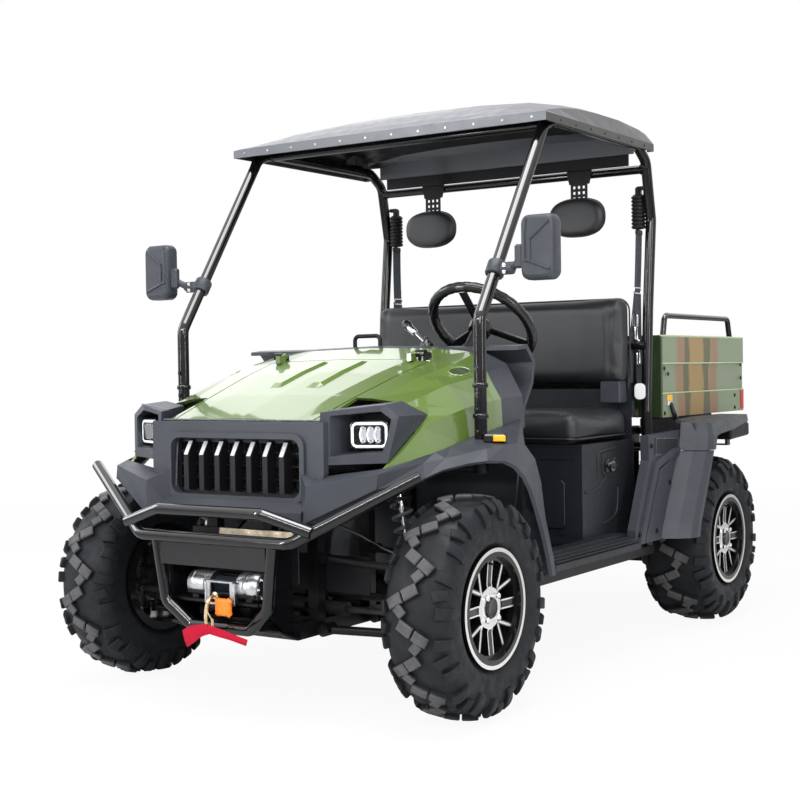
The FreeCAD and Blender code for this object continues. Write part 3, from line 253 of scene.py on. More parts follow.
def placed(shape, centre, x_axis=(1, 0, 0), z_axis=(0, 0, 1)):
    """The shape with its own x and z axes laid along the given directions, at centre."""
    z = unit(np.asarray(z_axis, float))
    x = np.asarray(x_axis, float)
    x = unit(x - x.dot(z) * z)
    turn = np.stack([x, np.cross(z, x), z], axis=1)
    points, faces = shape
    return np.asarray(points) @ turn.T + np.asarray(centre, float), faces


def across_middle(shape):
    """Mirror image of the shape in the vehicle's middle plane, its faces turned to point outwards again."""
    points, faces = shape
    return np.asarray(points) * (-1, 1, 1), [np.asarray(f)[:, ::-1] for f in faces]


def both_sides(shape):
    return merged(shape, across_middle(shape))


def hex_bolt(radius, height):
    """Bolt head on a washer, from the origin up z: a six-sided prism with a chamfered top on a round plate."""
    washer, washer_faces = turned([(0, 0), (0, radius * 1.5), (height * 0.25, radius * 1.5),
                                   (height * 0.25, radius * 0.8)], 12, (0, 0, 1), (0, 0, 0))
    head, head_faces = turned([(height * 0.2, radius), (height * 0.85, radius), (height, radius * 0.8),
                               (height, 0)], 6, (0, 0, 1), (0, 0, 0))
    return merged((washer, washer_faces), (head, head_faces))


def bolts(places, directions, radius, height):
    """Bolt heads at places (k, 3), each with its own z axis along its direction."""
    places = np.asarray(places, float).reshape(-1, 3)
    z = unit(np.broadcast_to(np.asarray(directions, float), places.shape))
    helper = np.where(np.abs(z[:, 2:]) < 0.9, (0.0, 0.0, 1.0), (1.0, 0.0, 0.0))
    x = unit(np.cross(helper, z))
    copies = np.zeros((len(places), 4, 4))
    copies[:, :3, 0] = x
    copies[:, :3, 1] = np.cross(z, x)
    copies[:, :3, 2] = z
    copies[:, :3, 3] = places
    copies[:, 3, 3] = 1
    return tile(*hex_bolt(radius, height), copies)


# Finishes

class Finish:
    """A material under making: a Principled shader and short calls for the nodes that feed it."""

    def __init__(self, name, colour, roughness, metallic=0.0, **sockets):
        self.material = bpy.data.materials.new(name)
        self.material.use_nodes = True
        self.tree = self.material.node_tree
        self.shader = self.tree.nodes["Principled BSDF"]
        self.place = self.tree.nodes.new("ShaderNodeTexCoord")
        self.shader.inputs["Base Color"].default_value = (*colour, 1.0)
        self.shader.inputs["Roughness"].default_value = roughness
        self.shader.inputs["Metallic"].default_value = metallic
        for socket, value in sockets.items():
            self.shader.inputs[socket.replace("_", " ")].default_value = value

    def node(self, kind, **values):
        made = self.tree.nodes.new(kind)
        for key, value in values.items():
            if key in made.inputs:
                made.inputs[key].default_value = value
            else:
                setattr(made, key, value)
        return made

    def link(self, source, target):
        self.tree.links.new(source, target)

    def noise(self, scale, detail=3.0, stretch=(1, 1, 1)):
        """Noise in object space, as a factor from 0 to 1; scale is in cycles a metre."""
        mapping = self.node("ShaderNodeMapping")
        mapping.inputs["Scale"].default_value = stretch
        self.link(self.place.outputs["Object"], mapping.inputs["Vector"])
        noise = self.node("ShaderNodeTexNoise", Scale=scale, Detail=detail)
        self.link(mapping.outputs["Vector"], noise.inputs["Vector"])
        return noise.outputs["Fac"]

    def cells(self, scale, feature="F1"):
        cells = self.node("ShaderNodeTexVoronoi", Scale=scale, feature=feature)
        self.link(self.place.outputs["Object"], cells.inputs["Vector"])
        return cells.outputs["Distance"]

    def ramp(self, factor, low, high, start=0.0, end=1.0):
        """Colour or grey that goes from low to high as factor goes from start to end."""
        ramp = self.node("ShaderNodeValToRGB")
        ends = ramp.color_ramp.elements
        ends[0].position, ends[1].position = start, end
        ends[0].color = (*low, 1) if not isinstance(low, (int, float)) else (low, low, low, 1)
        ends[1].color = (*high, 1) if not isinstance(high, (int, float)) else (high, high, high, 1)
        self.link(factor, ramp.inputs["Fac"])
        return ramp.outputs["Color"]

    def rise(self, value, start, end):
        """0 where the value is at start or under it, 1 at end or over it, and a straight line between."""
        made = self.node("ShaderNodeMapRange")
        made.inputs["From Min"].default_value = start
        made.inputs["From Max"].default_value = end
        self.link(value, made.inputs["Value"])
        return made.outputs[0]

    def root_sum(self, a, b):
        """Distance from the origin to the point (a, b)."""
        return self.math("SQRT", self.math("ADD", self.math("MULTIPLY", a, a), self.math("MULTIPLY", b, b)),
                         0.0)

    def math(self, operation, a, b):
        made = self.node("ShaderNodeMath", operation=operation)
        for socket, value in zip(made.inputs, (a, b)):
            if isinstance(value, (int, float)):
                socket.default_value = value
            else:
                self.link(value, socket)
        return made.outputs[0]

    def mix(self, factor, a, b):
        """Colour a where factor is 0 and b where it is 1."""
        made = self.node("ShaderNodeMix", data_type="RGBA")
        for socket, value in ((made.inputs[0], factor), (made.inputs[6], a), (made.inputs[7], b)):
            if isinstance(value, tuple):
                socket.default_value = (*value, 1)
            elif isinstance(value, (int, float)):
                socket.default_value = value
            else:
                self.link(value, socket)
        return made.outputs[2]

    def axis(self, name, normal=False):
        """One coordinate of the point, or of its normal, in the vehicle's frame."""
        split = self.node("ShaderNodeSeparateXYZ")
        self.link(self.place.outputs["Normal" if normal else "Object"], split.inputs[0])
        return split.outputs[name]

    def bump(self, height, depth, strength=1.0):
        """Adds a height from 0 to 1 over depth metres to the shader's normal, after any earlier one."""
        made = self.node("ShaderNodeBump", Strength=strength, Distance=depth)
        self.link(height, made.inputs["Height"])
        before = self.shader.inputs["Normal"]
        if before.is_linked:
            self.link(before.links[0].from_socket, made.inputs["Normal"])
        self.link(made.outputs[0], before)

    def colour(self, socket):
        self.link(socket, self.shader.inputs["Base Color"])

    def roughness(self, socket):
        self.link(socket, self.shader.inputs["Roughness"])


def shaded(colour, share):
    return tuple(min(c * share, 1.0) for c in colour)


def grained_plastic(name, colour, roughness=0.55, grain=900.0, depth=0.00025, shine=0.5):
    """Moulded plastic with a fine leather-like grain and slow changes of shade."""
    finish = Finish(name, colour, roughness, Specular_IOR_Level=shine)
    finish.colour(finish.ramp(finish.noise(7.0), shaded(colour, 0.86), shaded(colour, 1.15), 0.3, 0.7))
    finish.roughness(finish.ramp(finish.noise(40.0), roughness - 0.05, roughness + 0.07, 0.3, 0.7))
    finish.bump(finish.cells(grain), depth, 0.5)
    return finish.material


def gloss_paint(name, colour, roughness=0.32, coat=1.0):
    """Body paint: a coloured base with a faint fleck under a clear coat with a little orange peel."""
    finish = Finish(name, colour, roughness, Coat_Weight=coat, Coat_Roughness=0.04)
    finish.colour(finish.ramp(finish.noise(1600.0, 1.0), shaded(colour, 0.93), shaded(colour, 1.08), 0.35,
                              0.65))
    finish.bump(finish.noise(260.0, 1.0), 0.00006, 0.35)
    return finish.material


def satin_steel_paint(name, colour, roughness=0.3, coat=0.6, shine=0.5):
    """Powder coat on steel: close orange peel and a soft gloss. The clear coat is full where the surface faces up
    and a tenth of it where it faces down: a painted highlight on the upper faces and painted shade on the
    underside."""
    finish = Finish(name, colour, roughness, Coat_Weight=coat, Coat_Roughness=0.06, Specular_IOR_Level=shine,
                    Coat_IOR=1.9)
    # Coat weight from the normal's height: painted highlight on top, painted shade underneath.
    finish.link(finish.ramp(finish.axis("Z", normal=True), coat * 0.1, coat, 0.1, 0.6),
                finish.shader.inputs["Coat Weight"])
    finish.colour(finish.ramp(finish.noise(30.0), shaded(colour, 0.8), shaded(colour, 1.25), 0.35, 0.65))
    finish.bump(finish.noise(420.0, 2.0), 0.0001, 0.3)
    return finish.material


def cast_metal(name, colour, roughness=0.5, metallic=0.7, shine=0.5):
    """Cast or forged metal with a sandy skin and greasy patches."""
    finish = Finish(name, colour, roughness, metallic, Specular_IOR_Level=shine)
    finish.colour(finish.ramp(finish.noise(22.0), shaded(colour, 0.65), shaded(colour, 1.3), 0.35, 0.7))
    finish.roughness(finish.ramp(finish.noise(60.0), roughness - 0.12, roughness + 0.15, 0.3, 0.7))
    finish.bump(finish.noise(700.0, 3.0), 0.0003, 0.5)
    return finish.material


def tyre_rubber(name, colour, centre_y, centre_z, outer):
    """Rubber with a fine moulded skin. The lugs' tops turn to a lighter grey between 11 and 3 mm inside the outer
    radius about the wheel's middle, partly dust and wear and partly a painted highlight; the rest has slow random
    changes of tone."""
    finish = Finish(name, colour, 0.5, Specular_IOR_Level=0.2)
    base = finish.ramp(finish.noise(18.0, 4.0), shaded(colour, 0.7), shaded(colour, 1.4), 0.3, 0.75)
    y = finish.math("SUBTRACT", finish.axis("Y"), centre_y)
    z = finish.math("SUBTRACT", finish.axis("Z"), centre_z)
    # Lighter lug tops: dust and wear, and a painted highlight.
    top = finish.rise(finish.root_sum(y, z), outer - 0.011, outer - 0.003)
    wear_and_painted_highlight = finish.math("MULTIPLY", top, finish.math("ADD", 0.45, finish.noise(45.0, 3.0)))
    finish.colour(finish.mix(wear_and_painted_highlight, base, (0.088, 0.087, 0.09)))
    finish.roughness(finish.ramp(finish.noise(35.0), 0.42, 0.7, 0.3, 0.7))
    finish.bump(finish.noise(240.0, 3.0), 0.0006, 0.45)
    return finish.material


def roof_shell(name):
    """Moulded roof, a little metallic: light grey where it faces up or forwards, a painted reflection of the
    bright sky; dark brown-grey on its sides; and black underneath, which is painted shade; each by the normal's
    parts."""
    finish = Finish(name, (0.02, 0.02, 0.02), 0.36, 0.25)
    up = finish.rise(finish.axis("Z", normal=True), 0.05, 0.75)
    ahead = finish.rise(finish.math("MULTIPLY", finish.axis("Y", normal=True), -1.0), 0.5, 0.9)
    # Black where the normal points down: painted shade.
    over = finish.math("GREATER_THAN", finish.axis("Z", normal=True), -0.2)
    body = finish.mix(over, (0.006, 0.006, 0.007), (0.055, 0.052, 0.05))
    # Light grey where it faces up or forwards: a painted reflection of the sky.
    painted_sky_glare = finish.math("MAXIMUM", up, ahead)
    finish.colour(finish.mix(painted_sky_glare, body, (0.125, 0.13, 0.145)))
    finish.roughness(finish.ramp(finish.noise(25.0), 0.3, 0.42, 0.3, 0.7))
    finish.bump(finish.noise(300.0, 2.0), 0.0001, 0.3)
    return finish.material


def vinyl(name, colour):
    """Seat vinyl with a pebbled grain."""
    finish = Finish(name, colour, 0.42)
    finish.colour(finish.ramp(finish.noise(12.0), shaded(colour, 0.85), shaded(colour, 1.2), 0.3, 0.7))
    finish.bump(finish.cells(420.0), 0.0004, 0.4)
    finish.bump(finish.noise(14.0, 2.0), 0.002, 0.18)
    return finish.material


def webbing(name, colour, sheen=0.25):
    """Belt webbing: fine ribs across and along the weave in object space."""
    finish = Finish(name, colour, 0.8, Sheen_Weight=sheen, Specular_IOR_Level=0.2)
    weave = finish.node("ShaderNodeTexWave", Scale=340.0, Distortion=0.4, bands_direction="Z")
    finish.link(finish.place.outputs["Object"], weave.inputs["Vector"])
    finish.colour(finish.ramp(weave.outputs["Fac"], shaded(colour, 0.6), shaded(colour, 1.4), 0.2, 0.8))
    finish.bump(weave.outputs["Fac"], 0.0006, 0.6)
    return finish.material


def machined(name, colour=(0.8, 0.79, 0.78), roughness=0.24):
    """Turned aluminium with fine tool marks."""
    finish = Finish(name, colour, roughness, 1.0)
    finish.roughness(finish.ramp(finish.noise(300.0), roughness - 0.06, roughness + 0.1, 0.3, 0.7))
    finish.bump(finish.noise(900.0, 2.0, (0.1, 1, 1)), 0.00005, 0.4)
    return finish.material


def plain(name, colour, roughness, metallic=0.0, **sockets):
    """Small smooth moulding or plated piece, with a slow change of gloss."""
    finish = Finish(name, colour, roughness, metallic, **sockets)
    finish.roughness(finish.ramp(finish.noise(80.0), max(roughness - 0.04, 0.02), roughness + 0.06, 0.3,
                                 0.7))
    return finish.material


def lit(name, colour, strength):
    """Lamp element that glows a little by itself."""
    finish = Finish(name, shaded(colour, 0.8), 0.3, Emission_Strength=strength)
    finish.shader.inputs["Emission Color"].default_value = (*colour, 1)
    return finish.material


def clear_plastic(name, tint=(0.93, 0.95, 0.97)):
    finish = Finish(name, tint, 0.04, Transmission_Weight=1.0, IOR=1.3)
    finish.bump(finish.noise(90.0), 0.0001, 0.2)
    return finish.material


def two_tone_wheel(name, face_x, centre_y, centre_z):
    """Black gloss wheel with machined faces. Bright is where the normal looks straight out to the side at
    least face_x from the middle plane, and the radius and the distance to the nearest main spoke's line
    say so: the lip outside 158 mm, the hub's ring, both edges of a main spoke and a line along each fork
    spoke out to 131 mm."""
    black = (0.006, 0.006, 0.007)
    finish = Finish(name, black, 0.22, Coat_Weight=0.2, Coat_Roughness=0.05, Specular_IOR_Level=0.3)
    outward_facing = finish.math("GREATER_THAN", finish.math("ABSOLUTE", finish.axis("X", normal=True), 0.0),
                                 0.9)
    reach = finish.math("GREATER_THAN", finish.math("ABSOLUTE", finish.axis("X"), 0.0), face_x)
    u = finish.math("ABSOLUTE", finish.math("SUBTRACT", finish.axis("Y"), centre_y), 0.0)
    v = finish.math("ABSOLUTE", finish.math("SUBTRACT", finish.axis("Z"), centre_z), 0.0)
    radius = finish.root_sum(u, v)
    off_line = finish.math("MINIMUM", u, v)
    far = finish.math("MAXIMUM", u, v)
    lip = finish.math("GREATER_THAN", radius, 0.158)
    hub = finish.math("LESS_THAN", radius, 0.06)
    edges = finish.math("MULTIPLY", finish.math("GREATER_THAN", off_line, 0.0095),
                        finish.math("LESS_THAN", off_line, 0.016))
    fork = finish.math("SUBTRACT", finish.math("MULTIPLY", finish.math("SUBTRACT", far, 0.051), 0.316),
                       finish.math("MULTIPLY", finish.math("SUBTRACT", off_line, 0.0455), 0.949))
    fork = finish.math("MULTIPLY", finish.math("LESS_THAN", finish.math("ABSOLUTE", fork, 0.0), 0.0034),
                       finish.math("GREATER_THAN", off_line, 0.022))
    lines = finish.math("MAXIMUM", hub, finish.math("MAXIMUM", edges, fork))
    disc = finish.math("MULTIPLY", finish.math("LESS_THAN", radius, 0.131),
                       finish.math("GREATER_THAN", radius, 0.031))
    face = finish.math("MULTIPLY", disc, lines)
    bright = finish.math("MULTIPLY", finish.math("MULTIPLY", outward_facing, reach),
                         finish.math("MAXIMUM", lip, face))
    finish.colour(finish.mix(bright, black, (0.78, 0.76, 0.74)))
    finish.link(bright, finish.shader.inputs["Metallic"])
    finish.roughness(finish.ramp(bright, 0.2, 0.28))
    return finish.material


def faded_bed_paint(name, colour):
    """Satin bed paint with the upright brown and golden band that fades into the green behind the cab; the front
    face towards the cab is a dark green that is painted shade.
    """
    low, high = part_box("cargo_bed")
    finish = Finish(name, colour, 0.36, Coat_Weight=0.2, Coat_Roughness=0.15)
    length = high[1] - low[1]
    start = finish.math("SUBTRACT", finish.axis("Y"), low[1])
    wobble = finish.math("MULTIPLY", finish.math("SUBTRACT", finish.noise(16.0, 4.0, (1, 1, 0.3)), 0.5),
                         0.09)
    along = finish.math("DIVIDE", finish.math("ADD", start, wobble), length)
    band = finish.node("ShaderNodeValToRGB")
    stops = band.color_ramp.elements
    stops[0].position, stops[0].color = 0.0, (*colour, 1)
    stops[1].position, stops[1].color = 1.0, (*colour, 1)
    brown, olive, ochre = (0.27, 0.145, 0.062), (0.075, 0.068, 0.012), (0.33, 0.205, 0.048)
    for position, shade in ((0.15, colour), (0.19, brown), (0.235, brown), (0.25, olive), (0.305, olive),
                            (0.325, ochre), (0.475, ochre), (0.49, olive), (0.545, olive), (0.56, ochre),
                            (0.575, brown), (0.63, brown), (0.67, colour)):
        stop = stops.new(position)
        stop.color = (*shade, 1)
    finish.link(along, band.inputs["Fac"])
    # The front outer face, that faces the cab, is painted dark green: painted shade.
    at_front = finish.math("LESS_THAN", finish.axis("Y"), low[1] + 0.03)
    faces_cab = finish.math("LESS_THAN", finish.axis("Y", normal=True), -0.5)
    finish.colour(finish.mix(finish.math("MULTIPLY", at_front, faces_cab), band.outputs["Color"],
                             (0.022, 0.038, 0.012)))
    finish.bump(finish.noise(420.0, 2.0), 0.0001, 0.3)
    return finish.material


FINISHES = {}


def finish_named(name):
    """The vehicle's finish of that name, made the first time it is asked for."""
    if name not in FINISHES:
        colours = bpy.context.scene.utility_vehicle_colours
        makers = {
            "paint": lambda: gloss_paint("body_paint", tuple(colours.paint)),
            "bed": lambda: faded_bed_paint("bed_paint", tuple(colours.bed)),
            "slate": lambda: grained_plastic("slate_plastic", tuple(colours.slate), 0.38, shine=0.3),
            "dark_slate": lambda: grained_plastic("dark_slate", (0.014, 0.015, 0.019), 0.4, shine=0.3),
            "black_plastic": lambda: grained_plastic("black_plastic", (0.008, 0.008, 0.01), 0.42, shine=0.22),
            "tube": lambda: satin_steel_paint("tube_paint", (0.004, 0.004, 0.005), 0.14, 1.0, 0.25),
            "frame": lambda: satin_steel_paint("frame_paint", (0.005, 0.005, 0.006), 0.36, 0.0, 0.2),
            "cast": lambda: cast_metal("cast_metal", (0.03, 0.03, 0.033), 0.45, 0.5, 0.3),
            "zinc": lambda: cast_metal("zinc_plate", (0.42, 0.42, 0.43), 0.34, 1.0),
            "rubber": lambda: grained_plastic("plain_rubber", tuple(colours.rubber), 0.6, shine=0.3),
            "vinyl": lambda: vinyl("seat_vinyl", (0.014, 0.015, 0.018)),
            "webbing": lambda: webbing("belt_webbing", (0.022, 0.029, 0.05)),
            "roof": lambda: roof_shell("roof_shell"),
            "machined": lambda: machined("machined_face"),
            "chrome": lambda: plain("bright_plate", (0.75, 0.75, 0.76), 0.12, 1.0),
            "bronze": lambda: cast_metal("bronze_plate", (0.32, 0.27, 0.2), 0.4, 0.6),
            "strap": lambda: webbing("pull_strap", tuple(colours.strap), 0.0),
            "orange": lambda: plain("orange_cover", (0.95, 0.22, 0.01), 0.4),
            "amber": lambda: plain("amber_reflector", (0.95, 0.5, 0.02), 0.2),
            "red": lambda: plain("red_reflector", (0.55, 0.01, 0.01), 0.2),
            "white_light": lambda: lit("lamp_ring", (0.95, 0.98, 1.0), 0.75),
            "clear": lambda: clear_plastic("lamp_cover"),
            "mirror": lambda: plain("mirror_glass", (0.85, 0.87, 0.9), 0.03, 1.0),
            "white": lambda: plain("white_plastic", (0.75, 0.75, 0.75), 0.4),
            "gloss_black": lambda: plain("gloss_black", (0.007, 0.007, 0.008), 0.18),
            "red_lens": lambda: plain("red_lens", (0.45, 0.008, 0.008), 0.12, Coat_Weight=1.0),
            "dark_silver": lambda: machined("dark_silver", (0.44, 0.45, 0.47), 0.3),
            "brass": lambda: cast_metal("brass_plate", (0.5, 0.41, 0.26), 0.3, 1.0),
            "spring": lambda: satin_steel_paint("spring_paint", (0.1, 0.105, 0.115), 0.35, 0.6),
            "piping": lambda: plain("vinyl_piping", (0.01, 0.01, 0.012), 0.35),
            # Light grey sheets on the grille bars' tops: painted highlights.
            "painted_highlight_grey": lambda: plain("grille_painted_highlight", (0.62, 0.63, 0.65), 0.25, 0.3),
            # Slate at 2.2 times its brightness for edges: painted highlight.
            "slate_painted_highlight": lambda: grained_plastic("slate_painted_highlight", shaded(tuple(colours.slate), 2.2), 0.25),
            # Darker green for the inside of a recess: painted shade.
            "recess_painted_shade": lambda: gloss_paint("recess_painted_shade", (0.04, 0.06, 0.02)),
            # Bed green at 2.3 times its brightness for the ledges: painted highlight.
            "ledge_painted_highlight": lambda: plain("ledge_painted_highlight", shaded(tuple(colours.bed), 2.3), 0.3),
            # Dark green for the bed's shaded front face: painted shade.
            "painted_shade_green": lambda: plain("shadow_green", (0.03, 0.045, 0.022), 0.4),
        }
        FINISHES[name] = makers[name]()
    return FINISHES[name]


NODE_FINISH = {
    "paint": ["hood", "front_cowl"],
    "bed": ["cargo_bed", "tailgate"],
    "slate": ["fascia", "front_fenders", "rear_fenders", "side_guards", "dash", "mirrors"],
    "dark_slate": ["rockers", "seat_box"],
    "black_plastic": ["floor_pan", "grille", "steering_wheel", "steering_column", "grab_handle", "shift_lever",
                      "seat_cushion", "seat_back", "headrests"],
    "tube": ["cage", "front_bumper", "bed_rails", "rear_bumper"],
    "frame": ["main_frame", "suspension_arms", "skid_plate", "shocks", "winch"],
    "cast": ["knuckle_left", "knuckle_right", "steering_rack", "driveline", "engine", "muffler", "radiator"],
    "zinc": ["winch_hook"],
    "roof": ["roof"],
    "webbing": ["seat_belts"],
    "clear": ["headlights"],
    "red": ["tail_lamps"],
}


def paint_node(node, material):
    """Gives a CAD node its finish."""
    slots = NODES[node].material_slots
    if slots:
        for held in slots:
            held.material = material
    else:
        NODES[node].data.materials.append(material)


def dressed(piece, finish):
    """Gives a new piece its finish."""
    piece.data.materials.append(finish_named(finish) if isinstance(finish, str) else finish)
    return piece


# Tyres

def smooth_curve(corners, steps):
    """Curve through the corners: a cubic on each span whose slopes at a corner follow its two neighbours."""
    corners = np.asarray(corners, float)
    padded = np.concatenate([2 * corners[:1] - corners[1:2], corners, 2 * corners[-1:] - corners[-2:-1]])
    t = np.linspace(0, 1, steps, endpoint=False)[None, :, None]
    p0, p1, p2, p3 = (padded[i:len(padded) - 3 + i][:, None] for i in range(4))
    spans = 0.5 * (2 * p1 + (p2 - p0) * t + (2 * p0 - 5 * p1 + 4 * p2 - p3) * t ** 2
                   + (3 * p1 - p0 - 3 * p2 + p3) * t ** 3)
    return np.concatenate([spans.reshape(-1, corners.shape[1]), corners[-1:]])


def tyre_section(half_width, outer, lug_height, bead):
    """Half of the carcass outline as (across, radius) points, from the middle of the tread to the bead."""
    crown = outer - lug_height
    return smooth_curve([(0, crown), (half_width * 0.42, crown - 0.0035), (half_width * 0.74, crown - 0.013),
                         (half_width * 0.93, crown - 0.036), (half_width * 0.985, crown - 0.062),
                         (half_width * 0.975, crown - 0.088), (half_width * 0.93, crown - 0.112),
                         (half_width * 0.865, bead + 0.026), (half_width * 0.8, bead + 0.018),
                         (half_width * 0.76, bead + 0.01), (half_width * 0.72, bead + 0.002)], 6)


def lug_template(pitch, half_width):
    """Lugs of one pitch on one side of the tread, as rows of start along, start across, end along, end
    across, half width, height share at the start and at the end. Lengths along and across are shares of
    the pitch and of the half width, measured over the tread."""
    rows = [
        (0.02, -0.24, 0.14, 0.14, 0.015, 1.0, 1.0),
        (0.155, 0.185, 0.275, 0.56, 0.015, 1.0, 1.0),
        (0.3, 0.12, 0.4, 0.3, 0.016, 0.95, 0.95),
        (0.3, 0.7, 0.36, 1.22, 0.016, 1.0, 0.5),
        (0.62, 0.66, 0.56, 1.02, 0.014, 1.0, 0.75),
        (0.845, 0.76, 0.86, 1.32, 0.017, 1.0, 0.4),
    ]
    table = np.array(rows)
    table[:, [0, 2]] *= pitch
    table[:, [1, 3]] *= half_width
    return table


def tyre_shape(width, outer, lug_height, pitches, bead):
    """Carcass and lugs about the origin with the wheel's axis along x.

    The carcass is the section mirrored and turned. A lug is a bar carried over the tread: six points in
    its section, two of them sunk under the carcass and two pulled in at the top, at stations from its
    start to its end, with the distance over the tread turned into a place on the section and the distance
    along into an angle."""
    half = width / 2
    side = tyre_section(half, outer, lug_height, bead)
    section = np.concatenate([side[::-1] * (-1, 1), side[1:]])
    around = 216
    turn = whole_turn(around)
    radius = section[:, 1][:, None]
    carcass = np.stack([np.broadcast_to(section[:, 0][:, None], (len(section), around)), radius
                        * np.cos(turn), radius * np.sin(turn)], axis=-1)
    carcass_shape = (carcass.reshape(-1, 3), [grid_faces(len(section), around, True, True)[:, ::-1]])

    steps = np.linalg.norm(np.diff(section, axis=0), axis=1)
    over = np.concatenate([[0], np.cumsum(steps)])
    over -= over[len(over) // 2]
    slope = unit(np.gradient(section, axis=0))
    normal = np.stack([-slope[:, 1], slope[:, 0]], axis=1)
    crown = outer - lug_height
    pitch = 2 * np.pi * crown / pitches
    rows = lug_template(pitch, half)
    mirror = rows.copy()
    mirror[:, [1, 3]] *= -1
    mirror[:, [0, 2]] += pitch / 2
    rows = np.concatenate([rows, mirror])
    lugs_a_pitch = len(rows)
    shift = np.arange(pitches) * pitch
    rows = np.repeat(rows[None], pitches, axis=0)
    rows[:, :, [0, 2]] += shift[:, None, None]
    rows = rows.reshape(-1, rows.shape[2])

    start, end, wide = rows[:, 0:2], rows[:, 2:4], rows[:, 4]
    length = np.linalg.norm(end - start, axis=1)
    bevel = 0.0026
    share = np.stack([np.zeros(len(rows)), bevel / length, 0.25 + 0 * length, 0.5 + 0 * length, 0.75 + 0
                      * length, 1 - bevel / length, np.ones(len(rows))], axis=1)
    line = start[:, None] + (end - start)[:, None] * share[:, :, None]
    direction = (end - start) / length[:, None]
    across = np.stack([-direction[:, 1], direction[:, 0]], axis=1)
    section_side = np.array([-1.06, -1.0, -0.84, 0.84, 1.0, 1.06])
    at_end = np.zeros(7, bool)
    at_end[[0, -1]] = True
    lift = np.where(at_end[:, None], np.array([-0.3, 0.78, 0.8, 0.8, 0.78, -0.3]),
                    np.array([-0.3, 0.84, 1.0, 1.0, 0.84, -0.3]))
    tall = (rows[:, 5][:, None] + (rows[:, 6] - rows[:, 5])[:, None] * share) * lug_height
    flat = line[:, :, None] + across[:, None, None] * (section_side[None, None, :, None]
                                                       * wide[:, None, None, None])
    height = lift[None] * tall[:, :, None]
    w = flat[..., 1]
    x = np.interp(w, over, section[:, 0]) + np.interp(w, over, normal[:, 0]) * height
    r = np.interp(w, over, section[:, 1]) + np.interp(w, over, normal[:, 1]) * height
    angle = flat[..., 0] / crown
    lugs = np.stack([x, r * np.cos(angle), r * np.sin(angle)], axis=-1)
    stations, ring = lugs.shape[1], lugs.shape[2]
    body = grid_faces(stations, ring, False, True)
    cap = np.array([[0, 1, 2, 3, 4, 5]])
    last = cap[:, ::-1] + (stations - 1) * ring
    offset = (np.arange(len(lugs)) * stations * ring)[:, None, None]
    face_sets = [(f[None] + offset).reshape(-1, f.shape[1]) for f in (body, cap, last)]
    handed = np.cross(lugs[0, 1, 0] - lugs[0, 0, 0], lugs[0, 0, 1] - lugs[0, 0, 0])
    outwards = lugs[0, 0, 0] - lugs[0].reshape(-1, 3).mean(0)
    if handed.dot(outwards) > 0:
        face_sets = [f[:, ::-1] for f in face_sets]
    mirrored_rows = np.arange(len(rows)) % lugs_a_pitch >= lugs_a_pitch // 2
    sets = []
    for faces in face_sets:
        owner = faces[:, 0] // (stations * ring)
        flip = mirrored_rows[owner]
        sets += [faces[~flip], faces[flip][:, ::-1]]
    return merged(carcass_shape, (lugs.reshape(-1, 3), sets))


class UTILITY_OT_tyres(bpy.types.Operator):
    """Four tyres with carcass and lugs in place of the plain rings"""

    bl_idname = "utility_vehicle.tyres"
    bl_label = "Tyres"

    def execute(self, context):
        sizes = context.scene.utility_vehicle_sizes
        for place in ("front", "rear"):
            low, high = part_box("tyre_%s_left" % place)
            middle = (low + high) / 2
            rubber = tyre_rubber("tyre_rubber_" + place, tuple(context.scene.utility_vehicle_colours.rubber),
                                 middle[1], middle[2], (high[2] - low[2]) / 2)
            for side in ("left", "right"):
                node = "tyre_%s_%s" % (place, side)
                paint_node(node, rubber)
                low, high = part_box(node)
                centre = (low + high) / 2
                width = high[0] - low[0]
                outer = (high[2] - low[2]) / 2
                shape = tyre_shape(width, outer, sizes.lug_height, sizes.lug_pitches, 0.1525)
                if side == "right":
                    shape = across_middle(shape)
                points, faces = shape
                tyre = mesh_piece("tread_%s_%s" % (place, side), points + np.array(centre), faces,
                                  "wheel_%s_%s" % (place, side))
                tyre.data.set_sharp_from_angle(angle=math.radians(35))
                dressed(tyre, rubber)
                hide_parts(node)
        return {"FINISHED"}


class UTILITY_OT_node_finishes(bpy.types.Operator):
    """Finish of every part that keeps its own shape"""

    bl_idname = "utility_vehicle.node_finishes"
    bl_label = "Finishes"

    def execute(self, context):
        for finish, nodes in NODE_FINISH.items():
            for node in nodes:
                paint_node(node, finish_named(finish))
        for place in ("front", "rear"):
            low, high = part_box("rim_%s_left" % place)
            tyre_low, tyre_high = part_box("tyre_%s_left" % place)
            middle = (tyre_low[0] + tyre_high[0]) / 2
            face_x = middle + (high[0] - middle) * 0.45
            centre = (tyre_low + tyre_high) / 2
            material = two_tone_wheel("wheel_%s" % place, face_x, centre[1], centre[2])
            for side in ("left", "right"):
                paint_node("rim_%s_%s" % (place, side), material)
        return {"FINISHED"}


# Places are given from the front axle

def axle_middle(place):
    low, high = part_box("tyre_%s_left" % place)
    return (low + high) / 2


FRONT_AXLE = axle_middle("front")[1]


def from_axle(points):
    """Points whose y counts from the front axle, in the vehicle's frame."""
    return np.asarray(points, float) + (0.0, FRONT_AXLE, 0.0)


def behind_axle(distance):
    """The y of a place that far behind the front axle."""
    return distance + FRONT_AXLE


def rounded_outline(width, height, radius, steps=6):
    """Rectangle with round corners about the origin, as (n, 2): each corner is a quarter circle about a
    point set in by the radius from both sides."""
    turn = np.linspace(0, np.pi / 2, steps)
    corners = []
    for number, (sx, sy) in enumerate(((1, 1), (-1, 1), (-1, -1), (1, -1))):
        angle = turn + number * np.pi / 2
        centre = np.array([sx * (width / 2 - radius), sy * (height / 2 - radius)])
        corners.append(centre + radius * np.stack([np.cos(angle), np.sin(angle)], 1))
    return np.concatenate(corners)


